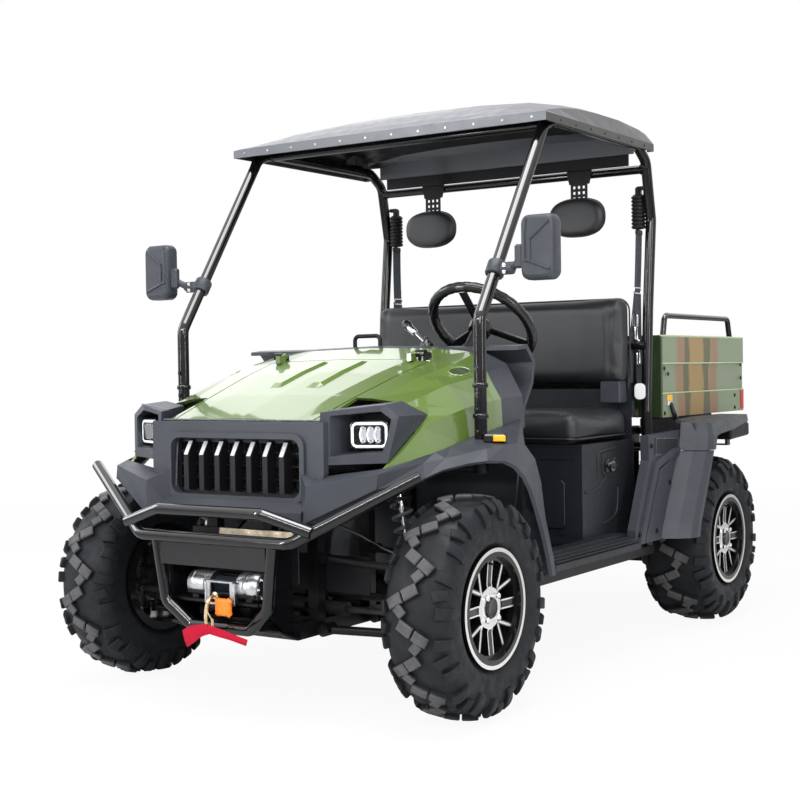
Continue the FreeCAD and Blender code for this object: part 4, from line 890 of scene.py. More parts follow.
def stacked(loops, close_start=True, close_end=True):
    """Surface through loops (m, n, 3) of like point counts; a closed end is a fan about the loop's middle.
    Faces point outwards where the loops turn left as seen from the last one back to the first."""
    loops = np.asarray(loops, float)
    count, size = loops.shape[:2]
    points = loops.reshape(-1, 3)
    faces = [grid_faces(count, size, False, True)[:, ::-1]]
    step = np.arange(size)
    for closed, first, turned_round in ((close_start, 0, True), (close_end, (count - 1) * size, False)):
        if closed:
            middle = len(points)
            points = np.concatenate([points, loops[0 if first == 0 else -1].mean(0)[None]])
            fan = np.stack([np.full(size, middle), first + step, first + (step + 1) % size], 1)
            faces.append(fan[:, ::-1] if turned_round else fan)
    return points, faces


def raised(outline, levels):
    """Loops of the outline (n, 2) scaled about its middle and lifted: levels are rows of share and height."""
    return np.stack([np.column_stack([outline * share, np.full(len(outline), height)])
                     for share, height in levels])


def plate(outline, thickness, bevel=0.001):
    """Flat piece with the outline (n, 2) in its own x and y and its back at z = 0, with a small bevelled
    edge."""
    size = np.abs(outline).max()
    inset = 1 - bevel / size
    return stacked(raised(outline, ((inset, 0), (1, bevel), (1, thickness - bevel), (inset, thickness))))


def outward(shape):
    """The shape with every face turned round where its enclosed volume comes out negative."""
    points, faces = shape
    volume = 0.0
    for face in faces:
        for corner in range(1, face.shape[1] - 1):
            a, b, c = points[face[:, 0]], points[face[:, corner]], points[face[:, corner + 1]]
            volume += np.einsum("ij,ij->", a, np.cross(b, c))
    return (points, [face[:, ::-1] for face in faces]) if volume < 0 else shape


def added(name, shape, body, finish, slot, smooth=True, sharp=35):
    """New piece from a closed shape, with edges sharper than the angle kept sharp."""
    points, faces = shape
    piece = mesh_piece(name, points, faces, body, smooth)
    if smooth:
        piece.data.set_sharp_from_angle(angle=math.radians(sharp))
    return dressed(piece, finish)


def prism(*corners, depth=0.006):
    """Flat piece with the given corners (x, height) and its back at z = 0 of its own frame."""
    outline = np.array(corners, float)
    return stacked(np.stack([np.column_stack([outline, np.full(len(outline), d)]) for d in (0.0, depth)]))


def ribbon(path, lean, width, thickness):
    """Flat strap along a path (n, 3): a rectangle of width along lean, square to the path, and of thickness."""
    path = np.asarray(path, float)
    along = unit(np.gradient(path, axis=0))
    lean = np.broadcast_to(np.asarray(lean, float), path.shape)
    side = unit(lean - (lean * along).sum(1, keepdims=True) * along)
    up = np.cross(along, side)
    width = np.broadcast_to(np.asarray(width, float), (len(path),))[:, None]
    loops = np.stack([path + a * side * width / 2 + b * up * thickness / 2
                      for a, b in ((1, 1), (-1, 1), (-1, -1), (1, -1))], 1)
    return outward(stacked(loops))


def block(size, bevel, place, x_axis=(1, 0, 0), z_axis=(0, 0, 1)):
    """Bevelled block of the full size, its middle at a place counted from the front axle."""
    return placed(soft_block(size, bevel), from_axle(place), x_axis, z_axis)


def tube(path, radius, across, sides=12, closed=False):
    return outward(pipe(path, radius, across, sides, closed))


def rod(path, radius, across, sides=12, closed=False):
    """Tube along a path counted from the front axle."""
    return tube(from_axle(path), radius, across, sides, closed)


def panel(width, height, corner, thickness, bevel=0.001, steps=6):
    """Plate with round corners and its back at z = 0."""
    return outward(plate(rounded_outline(width, height, corner, steps), thickness, bevel))


def pair(name, shape, finish, slot, body="chassis", **looks):
    """New piece from the shape and its mirror image on the other side."""
    return added(name, both_sides(shape), body, finish, slot, **looks)


def single(name, shape, finish, slot, **looks):
    """New piece on the chassis."""
    return added(name, shape, "chassis", finish, slot, **looks)


# Lamps

LAMP_MIDDLE = (0.4175, -0.1755, 0.805)
LAMP_ALONG = (0.118, 0.0505, 0.0)
LAMP_OUT = (0.0505, -0.118, 0.0)


def in_lamp(shape, depth=0.0):
    """A shape drawn in the lamp's own face, moved out along its axis by depth."""
    out = unit(np.array(LAMP_OUT))
    return placed(shape, from_axle(LAMP_MIDDLE) + out * depth, LAMP_ALONG, LAMP_OUT)


class UTILITY_OT_headlights(bpy.types.Operator):
    """Headlights: dark bowl, lit ring, three curved light strips and a clear cover"""

    bl_idname = "utility_vehicle.headlights"
    bl_label = "Headlights"

    def execute(self, context):
        bowl = rounded_outline(0.112, 0.078, 0.016)
        loops = raised(bowl, ((0.94, -0.055), (1.0, -0.05), (1.0, 0.0), (0.93, 0.002), (0.9, -0.004),
                              (0.84, -0.03), (0.5, -0.042)))
        bowls = both_sides(in_lamp(outward(stacked(loops))))
        first = single("lamp_bowls", bowls, "gloss_black", "dark_metal")
        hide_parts("headlights")

        ring = rounded_outline(0.096, 0.063, 0.013, 9)
        ring_path = np.column_stack([ring, np.zeros(len(ring))])
        rings = both_sides(in_lamp(tube(ring_path, 0.0036, (0, 0, 1), 10, True), 0.0005))
        single("lamp_rings", rings, "white_light", "lamp_glass")

        rise = np.linspace(-0.019, 0.019, 15)
        strips = []
        for middle in (-0.024, -0.003, 0.018):
            path = np.stack([middle - 0.006 * np.cos(rise / 0.019 * 1.3), rise, np.full(15, -0.014)], 1)
            strips.append(in_lamp(tube(path, 0.0026, (1, 0, 0), 8)))
        pair("lamp_strips", merged(*strips), "white_light", "lamp_glass")
        cups = []
        for middle in (-0.022, 0.0, 0.021):
            cup = stacked(raised(rounded_outline(0.019, 0.046, 0.009),
                                 ((1.0, -0.03), (1.0, -0.017), (0.85, -0.016), (0.7, -0.024))))
            cups.append(in_lamp(outward((cup[0] + (middle, 0, 0), cup[1]))))
        pair("lamp_reflectors", merged(*cups), "chrome", "lamp_glass")

        cover = stacked(raised(rounded_outline(0.106, 0.073, 0.015),
                               ((1.0, -0.001), (1.0, 0.001), (0.97, 0.0035), (0.6, 0.0055))))
        pair("lamp_covers", in_lamp(outward(cover)), "clear", "lamp_glass")
        return {"FINISHED"}


class UTILITY_OT_tail_lamps(bpy.types.Operator):
    """Tail lamps: ribbed red lens on a dark base"""

    bl_idname = "utility_vehicle.tail_lamps"
    bl_label = "Tail lamps"

    def execute(self, context):
        low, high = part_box("tail_lamps")
        middle = np.array([(0.4 + 0.47) / 2, low[1], (low[2] + high[2]) / 2])
        width, height, depth = 0.07, high[2] - low[2], high[1] - low[1]
        base = plate(rounded_outline(width, height, 0.006), depth * 0.45)
        bases = both_sides(placed(outward(base), middle, (-1, 0, 0), (0, 1, 0)))
        first = single("tail_lamp_bases", bases, "black_plastic", "lamp_red")
        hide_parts("tail_lamps")
        ribs = []
        for number in range(5):
            rib = stacked(raised(rounded_outline(0.0125, height - 0.006, 0.003),
                                 ((1.0, depth * 0.4), (1.0, depth * 0.8), (0.7, depth))))
            ribs.append((rib[0] + ((number - 2) * 0.0128, 0, 0), rib[1]))
        lens = both_sides(placed(outward(merged(*ribs)), middle, (-1, 0, 0), (0, 1, 0)))
        single("tail_lamp_lenses", lens, "red_lens", "lamp_red")
        return {"FINISHED"}


# Wheels

class UTILITY_OT_wheel_hardware(bpy.types.Operator):
    """Centre caps, nuts, valves and brake discs"""

    bl_idname = "utility_vehicle.wheel_hardware"
    bl_label = "Wheel hardware"

    def execute(self, context):
        for place in ("front", "rear"):
            middle = axle_middle(place)
            rim_low, rim_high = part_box("rim_%s_left" % place)
            face = rim_high[0] - 0.02
            centre = np.array([face, middle[1], middle[2]])
            angle = np.radians([45, 135, 225, 315])
            seats = centre + np.stack([np.zeros(4), np.cos(angle), np.sin(angle)], 1) * 0.043
            nuts = bolts(seats - (0.004, 0, 0), (1, 0, 0), 0.0085, 0.018)
            cap = turned([(-0.002, 0.031), (0.004, 0.031), (0.008, 0.029), (0.01, 0.024), (0.009, 0.021),
                          (0.0095, 0.0)], 40, (1, 0, 0), centre)
            outline = rounded_outline(0.078, 0.078, 0.014)
            square = placed(outward(plate(outline, 0.006)), centre - (0.003, 0, 0), (0, 1, 0), (1, 0, 0))
            valve = pipe([centre + (-0.006, 0.0, 0.128), centre + (0.012, 0.0, 0.122)], 0.0035, (0, 1, 0), 8)
            disc = turned([(0, 0.04), (0, 0.104), (0.005, 0.104), (0.005, 0.04)], 48, (1, 0, 0),
                          (rim_low[0] + 0.075, middle[1], middle[2]))
            for side in ("left", "right"):
                body = "wheel_%s_%s" % (place, side)
                turn = (lambda shape: shape) if side == "left" else across_middle
                name = "%s_%s" % (place, side)
                added("hub_plate_" + name, turn(square), body, "machined", "alloy_black")
                added("wheel_nuts_" + name, turn(nuts), body, "chrome", "alloy_black", sharp=25)
                added("centre_cap_" + name, turn(cap), body, "gloss_black", "alloy_black")
                added("valve_" + name, turn(outward(valve)), body, "black_plastic", "alloy_black")
                added("brake_disc_" + name, turn(disc), body, "zinc", "cast_steel")
        return {"FINISHED"}


# Dampers

class UTILITY_OT_dampers(bpy.types.Operator):
    """Dampers with coil springs, collars and rubber bushes in place of the plain ones"""

    bl_idname = "utility_vehicle.dampers"
    bl_label = "Dampers"

    def execute(self, context):
        sizes = context.scene.utility_vehicle_sizes
        tubes, rods, springs = [], [], []
        for y in (0.048, 1.848):
            foot = from_axle((0.43, y, 0.2598))
            head = from_axle((0.3583, y, 0.66))
            axis = head - foot
            length = np.linalg.norm(axis)
            way = axis / length
            across = np.array([0.0, 1.0, 0.0])
            side = np.cross(way, across)
            tubes.append(turned([(0.018, 0.0), (0.018, 0.014), (0.03, 0.021), (0.19, 0.021), (0.195, 0.015),
                                 (0.195, 0.0)], 24, way, foot))
            for start in (0.045, length - 0.062):
                tubes.append(turned([(start, 0.0), (start, 0.034), (start + 0.004, 0.036),
                                     (start + 0.009, 0.036), (start + 0.012, 0.03), (start + 0.012, 0.0)],
                                    28, way, foot))
            for end in (foot, head):
                tubes.append(turned([(-0.017, 0.0), (-0.017, 0.013), (-0.014, 0.0155), (0.014, 0.0155),
                                     (0.017, 0.013), (0.017, 0.0)], 20, across, end))
            rods.append(tube([foot + way * 0.19, head], 0.008, across, 12))
            turns = 7.5
            t = np.linspace(0, 1, int(turns * 16))
            angle = t * turns * 2 * np.pi
            coil = (foot + way * (0.062 + t[:, None] * (length - 0.13))
                    + (np.cos(angle)[:, None] * across + np.sin(angle)[:, None] * side) * 0.0285)
            springs.append(tube(coil, sizes.spring_wire, way, 8))
        first = pair("damper_bodies", merged(*tubes), "frame", "black_steel")
        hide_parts("shocks")
        pair("damper_rods", merged(*rods), "chrome", "black_steel")
        pair("damper_springs", merged(*springs), "spring", "black_steel")
        return {"FINISHED"}


# Winch

class UTILITY_OT_winch(bpy.types.Operator):
    """Winch with ribbed motor, geared end, wound rope, fairlead, orange hook stop, hook and red pull strap"""

    bl_idname = "utility_vehicle.winch"
    bl_label = "Winch"

    def execute(self, context):
        along = (1, 0, 0)
        start = from_axle((-0.13, -0.3, 0.372))
        motor = turned([(0, 0), (0, 0.03), (0.004, 0.036), (0.02, 0.038), (0.022, 0.036), (0.024, 0.038),
                        (0.066, 0.038), (0.068, 0.035), (0.072, 0.035), (0.074, 0.038), (0.09, 0.038),
                        (0.09, 0)], 40, along, start)
        gears = turned([(0.188, 0), (0.188, 0.04), (0.192, 0.042), (0.214, 0.042), (0.217, 0.038),
                        (0.228, 0.038), (0.231, 0.042), (0.252, 0.042), (0.262, 0.036), (0.268, 0.024),
                        (0.27, 0)], 40, along, start)
        turns = np.arange(14) * 0.0072 + 0.092
        profile = [(0.09, 0)]
        for t in turns:
            profile += [(t, 0.021), (t + 0.0036, 0.0255)]
        profile += [(0.19, 0.021), (0.19, 0)]
        rope = turned(profile, 32, along, start)
        tray = block((0.276, 0.074, 0.01), 0.002, (0, -0.299, 0.327))
        ties = [block((0.024, 0.06, 0.014), 0.002, (s * 0.1, -0.3, 0.3385)) for s in (-1, 1)]
        arms = [block((0.043, 0.068, 0.01), 0.002, (s * 0.1513, -0.296, 0.327)) for s in (-1, 1)]
        bars = [pipe(from_axle([(-0.12, y, z), (0.13, y, z)]), 0.006, (0, 0, 1), 10)
                for y, z in ((-0.335, 0.352), (-0.27, 0.395))]
        first = single("winch_motor", merged(outward(motor), outward(gears)), "dark_silver", "dark_metal")
        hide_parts("winch")
        single("winch_rope", outward(rope), "webbing", "dark_metal")
        single("winch_tray", merged(tray, *ties, *arms, *[outward(bar) for bar in bars]), "frame",
               "dark_metal")
        places = [from_axle((0.137, -0.3 + 0.03 * math.cos(a), 0.372 + 0.03 * math.sin(a)))
                  for a in np.radians(np.arange(0, 360, 60))]
        single("winch_bolts", bolts(places, (1, 0, 0), 0.0042, 0.006), "chrome", "dark_metal", sharp=25)

        frame_bars = [block((0.112, 0.012, 0.007), 0.0015, (0.01, -0.346, z)) for z in (0.3255, 0.3885)]
        posts = [block((0.008, 0.012, 0.07), 0.0015, (x, -0.346, 0.357)) for x in (-0.042, 0.062)]
        rollers = [pipe(from_axle([(x, -0.346, 0.33), (x, -0.346, 0.386)]), 0.007, (1, 0, 0), 16)
                   for x in (-0.032, 0.052)]
        single("fairlead", merged(*frame_bars, *posts, *[outward(r) for r in rollers]), "zinc", "dark_metal")
        stop = block((0.056, 0.02, 0.05), 0.006, (0.036, -0.364, 0.32))
        block_piece = single("hook_stop", stop, "orange", "hook_red")
        self.soften(block_piece)

        route = bent_path(from_axle([(0.006, -0.352, 0.352), (0.006, -0.384, 0.35), (0.003, -0.396, 0.334),
                                     (0.000, -0.398, 0.306), (0.000, -0.398, 0.276), (0.013, -0.398, 0.26),
                                     (0.026, -0.398, 0.274), (0.023, -0.398, 0.292)]), 0.012, 6)
        share = np.linspace(0, 1, len(route))
        thick = 0.0044 + 0.0018 * np.sin(share * np.pi)
        hook = tube(route, thick, (0, 0.2, 1), 12)
        latch = rod([(0.001, -0.398, 0.314), (0.022, -0.398, 0.288)], 0.0022, (0, 1, 0), 8)
        bush = turned([(0, 0), (0, 0.009), (0.012, 0.011), (0.014, 0.011), (0.016, 0.008), (0.016, 0)], 20,
                      (0, -1, 0), from_axle((0.006, -0.352, 0.351)))
        first = single("winch_hook_forging", merged(hook, latch, outward(bush)), "brass", "hook_red")
        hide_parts("winch_hook")
        halves = [self.strap_half([(0.014, -0.403, 0.263), (-0.03, -0.406, 0.252), (-0.078, -0.401, 0.227)],
                                  -1, 0.03, 0.05), self.strap_half([(0.012, -0.404, 0.262),
                                                                    (0.08, -0.407, 0.252),
                                                                    (0.15, -0.401, 0.236)], 1, 0.024, 0.018)]
        single("pull_strap", merged(*halves), "strap", "hook_red")
        return {"FINISHED"}

    def strap_half(self, corners, side, start_width, end_width):
        """Flat strap that widens along its path, with a bowed front face."""
        line = bent_path(from_axle(corners), 0.02, 8)
        wide = np.linspace(-0.5, 0.5, 6)
        widths = np.linspace(start_width, end_width, len(line))[:, None, None]
        lean = unit(np.array([0.35 * side, 0.0, 1.0]))
        rows = line[:, None] + wide[None, :, None] * lean * widths
        bow = 0.003 * np.cos(wide * 2.8)
        front = rows - np.array([0, 1, 0]) * (0.0016 + bow)[None, :, None]
        back = rows + np.array([0, 1, 0]) * 0.0016
        return outward(stacked(np.concatenate([front, back[:, ::-1]], axis=1)))

    def soften(self, piece):
        bevel = piece.modifiers.new("soft_edges", "BEVEL")
        bevel.width = 0.003
        bevel.segments = 3
        bevel.limit_method = "ANGLE"


# Seats and belts

def cloth_swell(piece, pressure, frames=20):
    """Swells a closed mesh as a cushion does, by Cloth with inner pressure and no gravity: the points before
    and after it."""
    scene = bpy.context.scene
    mesh = piece.data
    before = coordinates(mesh)
    cloth = piece.modifiers.new("swell", "CLOTH")
    settings = cloth.settings
    settings.quality = 4
    settings.mass = 0.3
    settings.tension_stiffness = 30
    settings.compression_stiffness = 30
    settings.shear_stiffness = 15
    settings.bending_stiffness = 12
    settings.use_pressure = True
    settings.uniform_pressure_force = pressure
    settings.effector_weights.gravity = 0.0
    cloth.point_cache.frame_start = 1
    cloth.point_cache.frame_end = frames
    for frame_number in range(1, frames + 1):
        scene.frame_set(frame_number)
    shaped = piece.evaluated_get(bpy.context.evaluated_depsgraph_get())
    after = coordinates(shaped.data)
    piece.modifiers.remove(cloth)
    scene.frame_set(1)
    return before, after


def soft_pad(name, shape, body, voxel, cap, pressure, box, keep_under):
    """Padded piece: the closed shape is remeshed, swollen by cloth and its movement capped, then held inside
    box and put down flat where it rests, below keep_under."""
    points, faces = shape
    piece = mesh_piece(name, points, faces, body)
    remesh = piece.modifiers.new("even", "REMESH")
    remesh.mode = "VOXEL"
    remesh.voxel_size = voxel
    shaped = piece.evaluated_get(bpy.context.evaluated_depsgraph_get())
    even = bpy.data.meshes.new_from_object(shaped)
    piece.modifiers.clear()
    old = piece.data
    piece.data = even
    bpy.data.meshes.remove(old)
    here = coordinates(even)
    before, after = cloth_swell(piece, pressure)
    move = after - before
    length = np.linalg.norm(move, axis=1, keepdims=True)
    here = before + move * np.minimum(1.0, cap / np.maximum(length, 1e-9))
    low, high = box
    here = np.clip(here, np.asarray(low), np.asarray(high))
    if keep_under is not None:
        here[:, 2] = np.maximum(here[:, 2], keep_under)
    even.vertices.foreach_set("co", here.astype(np.float32).ravel())
    even.update()
    relax = piece.modifiers.new("relaxed", "SMOOTH")
    relax.factor, relax.iterations = 0.5, 8
    shaped = piece.evaluated_get(bpy.context.evaluated_depsgraph_get())
    settled = coordinates(shaped.data)
    piece.modifiers.clear()
    even.vertices.foreach_set("co", settled.ravel())
    even.update()
    even.polygons.foreach_set("use_smooth", np.full(len(even.polygons), True))
    return piece


def crowned_block(low, high, corner, crown, across=48, deep=24, tall=6, pull=0.0):
    """Closed pad between two corners: every point of a box grid is drawn in at the box's edges so that the
    section is a rounded rectangle of the given corner radius, and the top rises by crown in the middle,
    falling with the square of the distance to either side."""
    low, high = np.asarray(low, float), np.asarray(high, float)
    size = high - low
    counts = (across, deep, tall)
    points, faces = [], []
    start = 0
    for axis in range(3):
        b, c = (axis + 1) % 3, (axis + 2) % 3
        for end in (-1.0, 1.0):
            u, v = np.meshgrid(np.linspace(-1, 1, counts[b]), np.linspace(-1, 1, counts[c]), indexing="ij")
            grid = np.empty(u.shape + (3,))
            grid[..., axis] = end
            grid[..., b] = u
            grid[..., c] = v
            face = grid_faces(counts[b], counts[c])
            faces.append((face[:, ::-1] if end < 0 else face) + start)
            points.append(grid.reshape(-1, 3))
            start += grid.size // 3
    cube = np.concatenate(points)
    half = size / 2
    inner = half - corner
    centre = np.clip(cube * half, -inner, inner)
    out = unit(cube * half - centre)
    shaped = centre + out * corner
    share = np.clip(1 - (cube[:, 0] ** 2), 0, 1) * np.clip(1 - (cube[:, 1] ** 2), 0, 1)
    shaped[:, 2] += crown * share * (cube[:, 2] > 0.5)
    shaped[:, 0] *= 1 - pull * (1 - cube[:, 1] ** 2) * np.abs(cube[:, 0]) ** 3
    return shaped + (low + high) / 2, faces


def seam_cord(name, path, radius, body, closed=False):
    shape = tube(path, radius, (0.1, 0.2, 1), 8, closed)
    return added(name, shape, body, "piping", "black_vinyl")


class UTILITY_OT_seats(bpy.types.Operator):
    """Bench cushion, backrest and headrest pads in vinyl, with piping and sewn channels"""

    bl_idname = "utility_vehicle.seats"
    bl_label = "Seats"

    def execute(self, context):
        self.cushion(context)
        self.backrest()
        self.headrests()
        return {"FINISHED"}

    def finish_pad(self, piece, fill, nodes, subdivide=False):
        if subdivide:
            smooth = piece.modifiers.new("finer", "SUBSURF")
            smooth.levels = smooth.render_levels = 1
        dressed(piece, "vinyl")
        if nodes:
            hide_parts(*nodes)

    def press_lines(self, piece, axis, lines, width, depth, face_axis, sign):
        """Sewn channels: points near a line sink along face_axis by a bell curve of their distance to it."""
        mesh = piece.data
        here = coordinates(mesh)
        normals = np.empty(len(mesh.vertices) * 3, np.float32)
        mesh.vertex_normals.foreach_get("vector", normals)
        faced = np.clip(normals.reshape(-1, 3)[:, face_axis] * sign, 0, 1)
        for line in lines:
            away = np.abs(here[:, axis] - line)
            here[:, face_axis] -= sign * depth * faced * np.exp(-(away / width) ** 2)
        mesh.vertices.foreach_set("co", here.ravel())
        mesh.update()

    def cushion(self, context):
        low, high = (np.array(c, float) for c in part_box("seat_cushion"))
        crown = context.scene.utility_vehicle_sizes.cushion_crown
        shape = crowned_block(low + (0.005, 0.004, 0.0), high - (0.005, 0.006, crown * 0.5), 0.036, crown
                              * 0.4, 100, 40, 12, 0.004)
        box = (low - (0.004, 0.006, 0.0), high + (0.004, 0.002, 0.008))
        piece = soft_pad("bench_cushion", shape, "chassis", 0.008, 0.007, 2.0, box, low[2])
        self.press_lines(piece, 0, (low[0] + 0.075, high[0] - 0.075), 0.006, 0.004, 2, 1)
        self.finish_pad(piece, 0.8, ["seat_cushion"], True)
        inset = 0.012
        z = low[2] + 0.02
        corners = rounded_outline(high[0] - low[0] - inset, high[1] - low[1] - inset, 0.04, 8)
        path = np.column_stack([corners + ((low + high) / 2)[:2], np.full(len(corners), z)])
        seam_cord("cushion_piping", path, 0.0032, "chassis", True)

    def backrest(self):
        low, high = (np.array(c, float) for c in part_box("seat_back"))
        shape = crowned_block(low + (0.004, 0.01, 0.004), high - (0.004, 0.002, 0.004), 0.038, 0.0, 100, 12,
                              36)
        box = (low - (0.004, 0.008, 0.004), high + (0.004, 0.0, 0.006))
        piece = soft_pad("bench_backrest", shape, "chassis", 0.008, 0.007, 2.0, box, None)
        self.press_lines(piece, 0, (low[0] + 0.055, high[0] - 0.055), 0.01, 0.004, 1, -1)
        self.finish_pad(piece, 0.8, ["seat_back"], True)
        corners = rounded_outline(high[0] - low[0] - 0.014, high[2] - low[2] - 0.014, 0.045, 8)
        middle = (low + high) / 2
        path = np.column_stack([corners[:, 0] + middle[0], np.full(len(corners), high[1] - 0.016),
                                corners[:, 1] + middle[2]])
        seam_cord("backrest_piping", path, 0.0032, "chassis", True)

    def headrests(self):
        low, high = (np.array(c, float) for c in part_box("headrests"))
        plate_back = high[1] - 0.01
        for side in (-1, 1):
            middle = np.array([side * 0.321, plate_back - 0.022, 1.539])
            turn = whole_turn(64)
            bulge = 2.5
            c, s = np.cos(turn), np.sin(turn)
            rim = np.stack([np.sign(c) * np.abs(c) ** (2 / bulge) * 0.112, np.sign(s)
                            * np.abs(s) ** (2 / bulge) * 0.071], 1)
            pad = stacked(raised(rim, ((0.82, -0.028), (0.96, -0.018), (1.0, -0.004), (1.0, 0.01),
                                       (0.95, 0.022), (0.8, 0.028))))
            shape = placed(outward(pad), middle, (1, 0, 0), (0, -1, 0))
            box = (middle - (0.117, 0.034, 0.077), middle + (0.117, 0.031, 0.077))
            piece = soft_pad("headrest_pad_%s" % ("left" if side > 0 else "right"), shape, "chassis", 0.005,
                             0.005, 2.0, box, None)
            self.finish_pad(piece, 0.9, [])
            path = np.column_stack([rim[:, 0] + middle[0], np.full(64, middle[1]), rim[:, 1] + middle[2]])
            seam_cord("headrest_seam_%s" % ("left" if side > 0 else "right"), path, 0.0022, "chassis", True)
        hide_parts("headrests")
        self.brackets(plate_back)

    def brackets(self, plate_back):
        """Perforated bracket: a plate of square cells with every second cell of every second row left out,
        under a wider solid head that hooks over the header tube."""
        columns, rows = 8, 8
        x = np.linspace(-0.034, 0.034, columns)
        z = np.linspace(1.596, 1.668, rows)
        grid = np.stack(np.meshgrid(x, z, indexing="xy"), axis=-1)
        flat = np.stack([grid[..., 0], np.full(grid.shape[:2], plate_back - 0.006), grid[..., 1]],
                        -1).reshape(-1, 3)
        cells = grid_faces(rows, columns)
        row, column = np.divmod(np.arange(len(cells)), columns - 1)
        kept = cells[~((row % 2 == 1) & (column % 2 == 1))]
        for side in (-1, 1):
            points = flat + (side * 0.321, 0, 0)
            name = "left" if side > 0 else "right"
            piece = mesh_piece("headrest_bracket_" + name, points, [kept], "chassis", False)
            wall = piece.modifiers.new("wall", "SOLIDIFY")
            wall.thickness = 0.004
            wall.offset = 0.0
            dressed(piece, "frame")
            head = prism((-0.04, 1.664), (0.04, 1.664), (0.05, 1.7), (0.05, 1.722), (-0.05, 1.722),
                         (-0.05, 1.7))
            shape = placed(head, (side * 0.321, plate_back, 0), (1, 0, 0), (0, -1, 0))
            single("headrest_hook_" + name, outward(shape), "frame", "black_steel", smooth=False)


class UTILITY_OT_belts(bpy.types.Operator):
    """Seat belts: ribbed boots, webbing to the seat, buckles and anchor bolts"""

    bl_idname = "utility_vehicle.belts"
    bl_label = "Seat belts"

    def execute(self, context):
        low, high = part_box("seat_belts")
        x = high[0] - 0.026
        y = (low[1] + high[1]) / 2
        profile = [(0, 0)]
        for number in range(9):
            z = 0.004 + number * 0.0135
            profile += [(z, 0.0225), (z + 0.003, 0.0265), (z + 0.009, 0.0265), (z + 0.0115, 0.0225)]
        profile += [(0.128, 0.019), (0.131, 0.0)]
        boot = turned(profile, 28, (0, 0, 1), (x, y, 1.485))
        neck = placed(soft_block((0.02, 0.024, 0.03), 0.004), (x, y, 1.625))
        arm = placed(soft_block((0.034, 0.02, 0.014), 0.003), (x + 0.012, y, 1.636))
        ring = placed(soft_block((0.01, 0.052, 0.02), 0.004), (x, y, 1.475))
        boots = both_sides(merged(outward(boot), neck, arm, ring))
        first = single("belt_boots", boots, "black_plastic", "webbing")
        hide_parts("seat_belts")

        upper = bent_path([(x, y, 1.48), (x - 0.002, y - 0.004, 1.36), (x - 0.006, y - 0.006, 1.25)], 0.05,
                          8)
        fall = bent_path([(x - 0.006, y - 0.004, 1.25), (x - 0.004, y - 0.006, 1.02),
                          (x - 0.002, y + 0.004, 0.86)], 0.06, 8)
        lap = bent_path([(x - 0.006, y - 0.012, 1.25), (x - 0.014, y - 0.045, 1.05),
                         (x - 0.02, y - 0.05, 0.9), (x - 0.02, y - 0.03, 0.8)], 0.08, 8)
        straps = [ribbon(upper, (0, 1, 0), 0.052, 0.0022), ribbon(fall, (0, 1, 0), 0.056, 0.0022),
                  ribbon(lap, (0, 1, 0), 0.046, 0.0022)]
        pair("belt_webbing", merged(*straps), "webbing", "webbing")
        loop = rounded_outline(0.056, 0.02, 0.008)
        loop_path = np.column_stack([np.full(len(loop), x - 0.006), loop[:, 0] + y - 0.006, loop[:, 1]
                                     + 1.262])
        tongue = placed(soft_block((0.006, 0.034, 0.052), 0.002), (x - 0.022, y - 0.046, 0.955))
        pair("belt_fittings", merged(tube(loop_path, 0.0034, (1, 0, 0), 8, True), tongue), "chrome",
             "webbing")
        buckle = placed(soft_block((0.016, 0.04, 0.064), 0.005), (x - 0.022, y - 0.04, 0.895))
        pair("belt_buckles", buckle, "black_plastic", "webbing")
        reach = from_axle([(0.545, 1.34, 1.15), (0.545, 1.346, 1.105), (0.545, 1.352, 1.06),
                           (0.545, 1.362, 1.015)])
        links = []
        for number, spot in enumerate(reach):
            link = rounded_outline(0.02, 0.046, 0.009)
            lean = (1, 0, 0) if number % 2 else (0.3, 1, 0)
            links.append(tube(placed((np.column_stack([link, np.zeros(len(link))]), []), spot, (0, 1, 0),
                                     lean)[0], 0.0034, lean, 8, True))
        pair("belt_links", merged(*links), "chrome", "webbing")
        tag = placed(panel(0.04, 0.058, 0.016, 0.006, 0.002), from_axle((0.569, 1.319, 0.894)), (1, 0.3, 0),
                     (0.3, -1, 0))
        pair("belt_tags", tag, "white", "webbing")
        anchors = bolts([(x - 0.006, y - 0.02, 0.812)], (-1, 0, 0), 0.011, 0.008)
        pair("belt_anchor_bolts", anchors, "brass", "webbing", sharp=25)
        return {"FINISHED"}


# Cab fittings

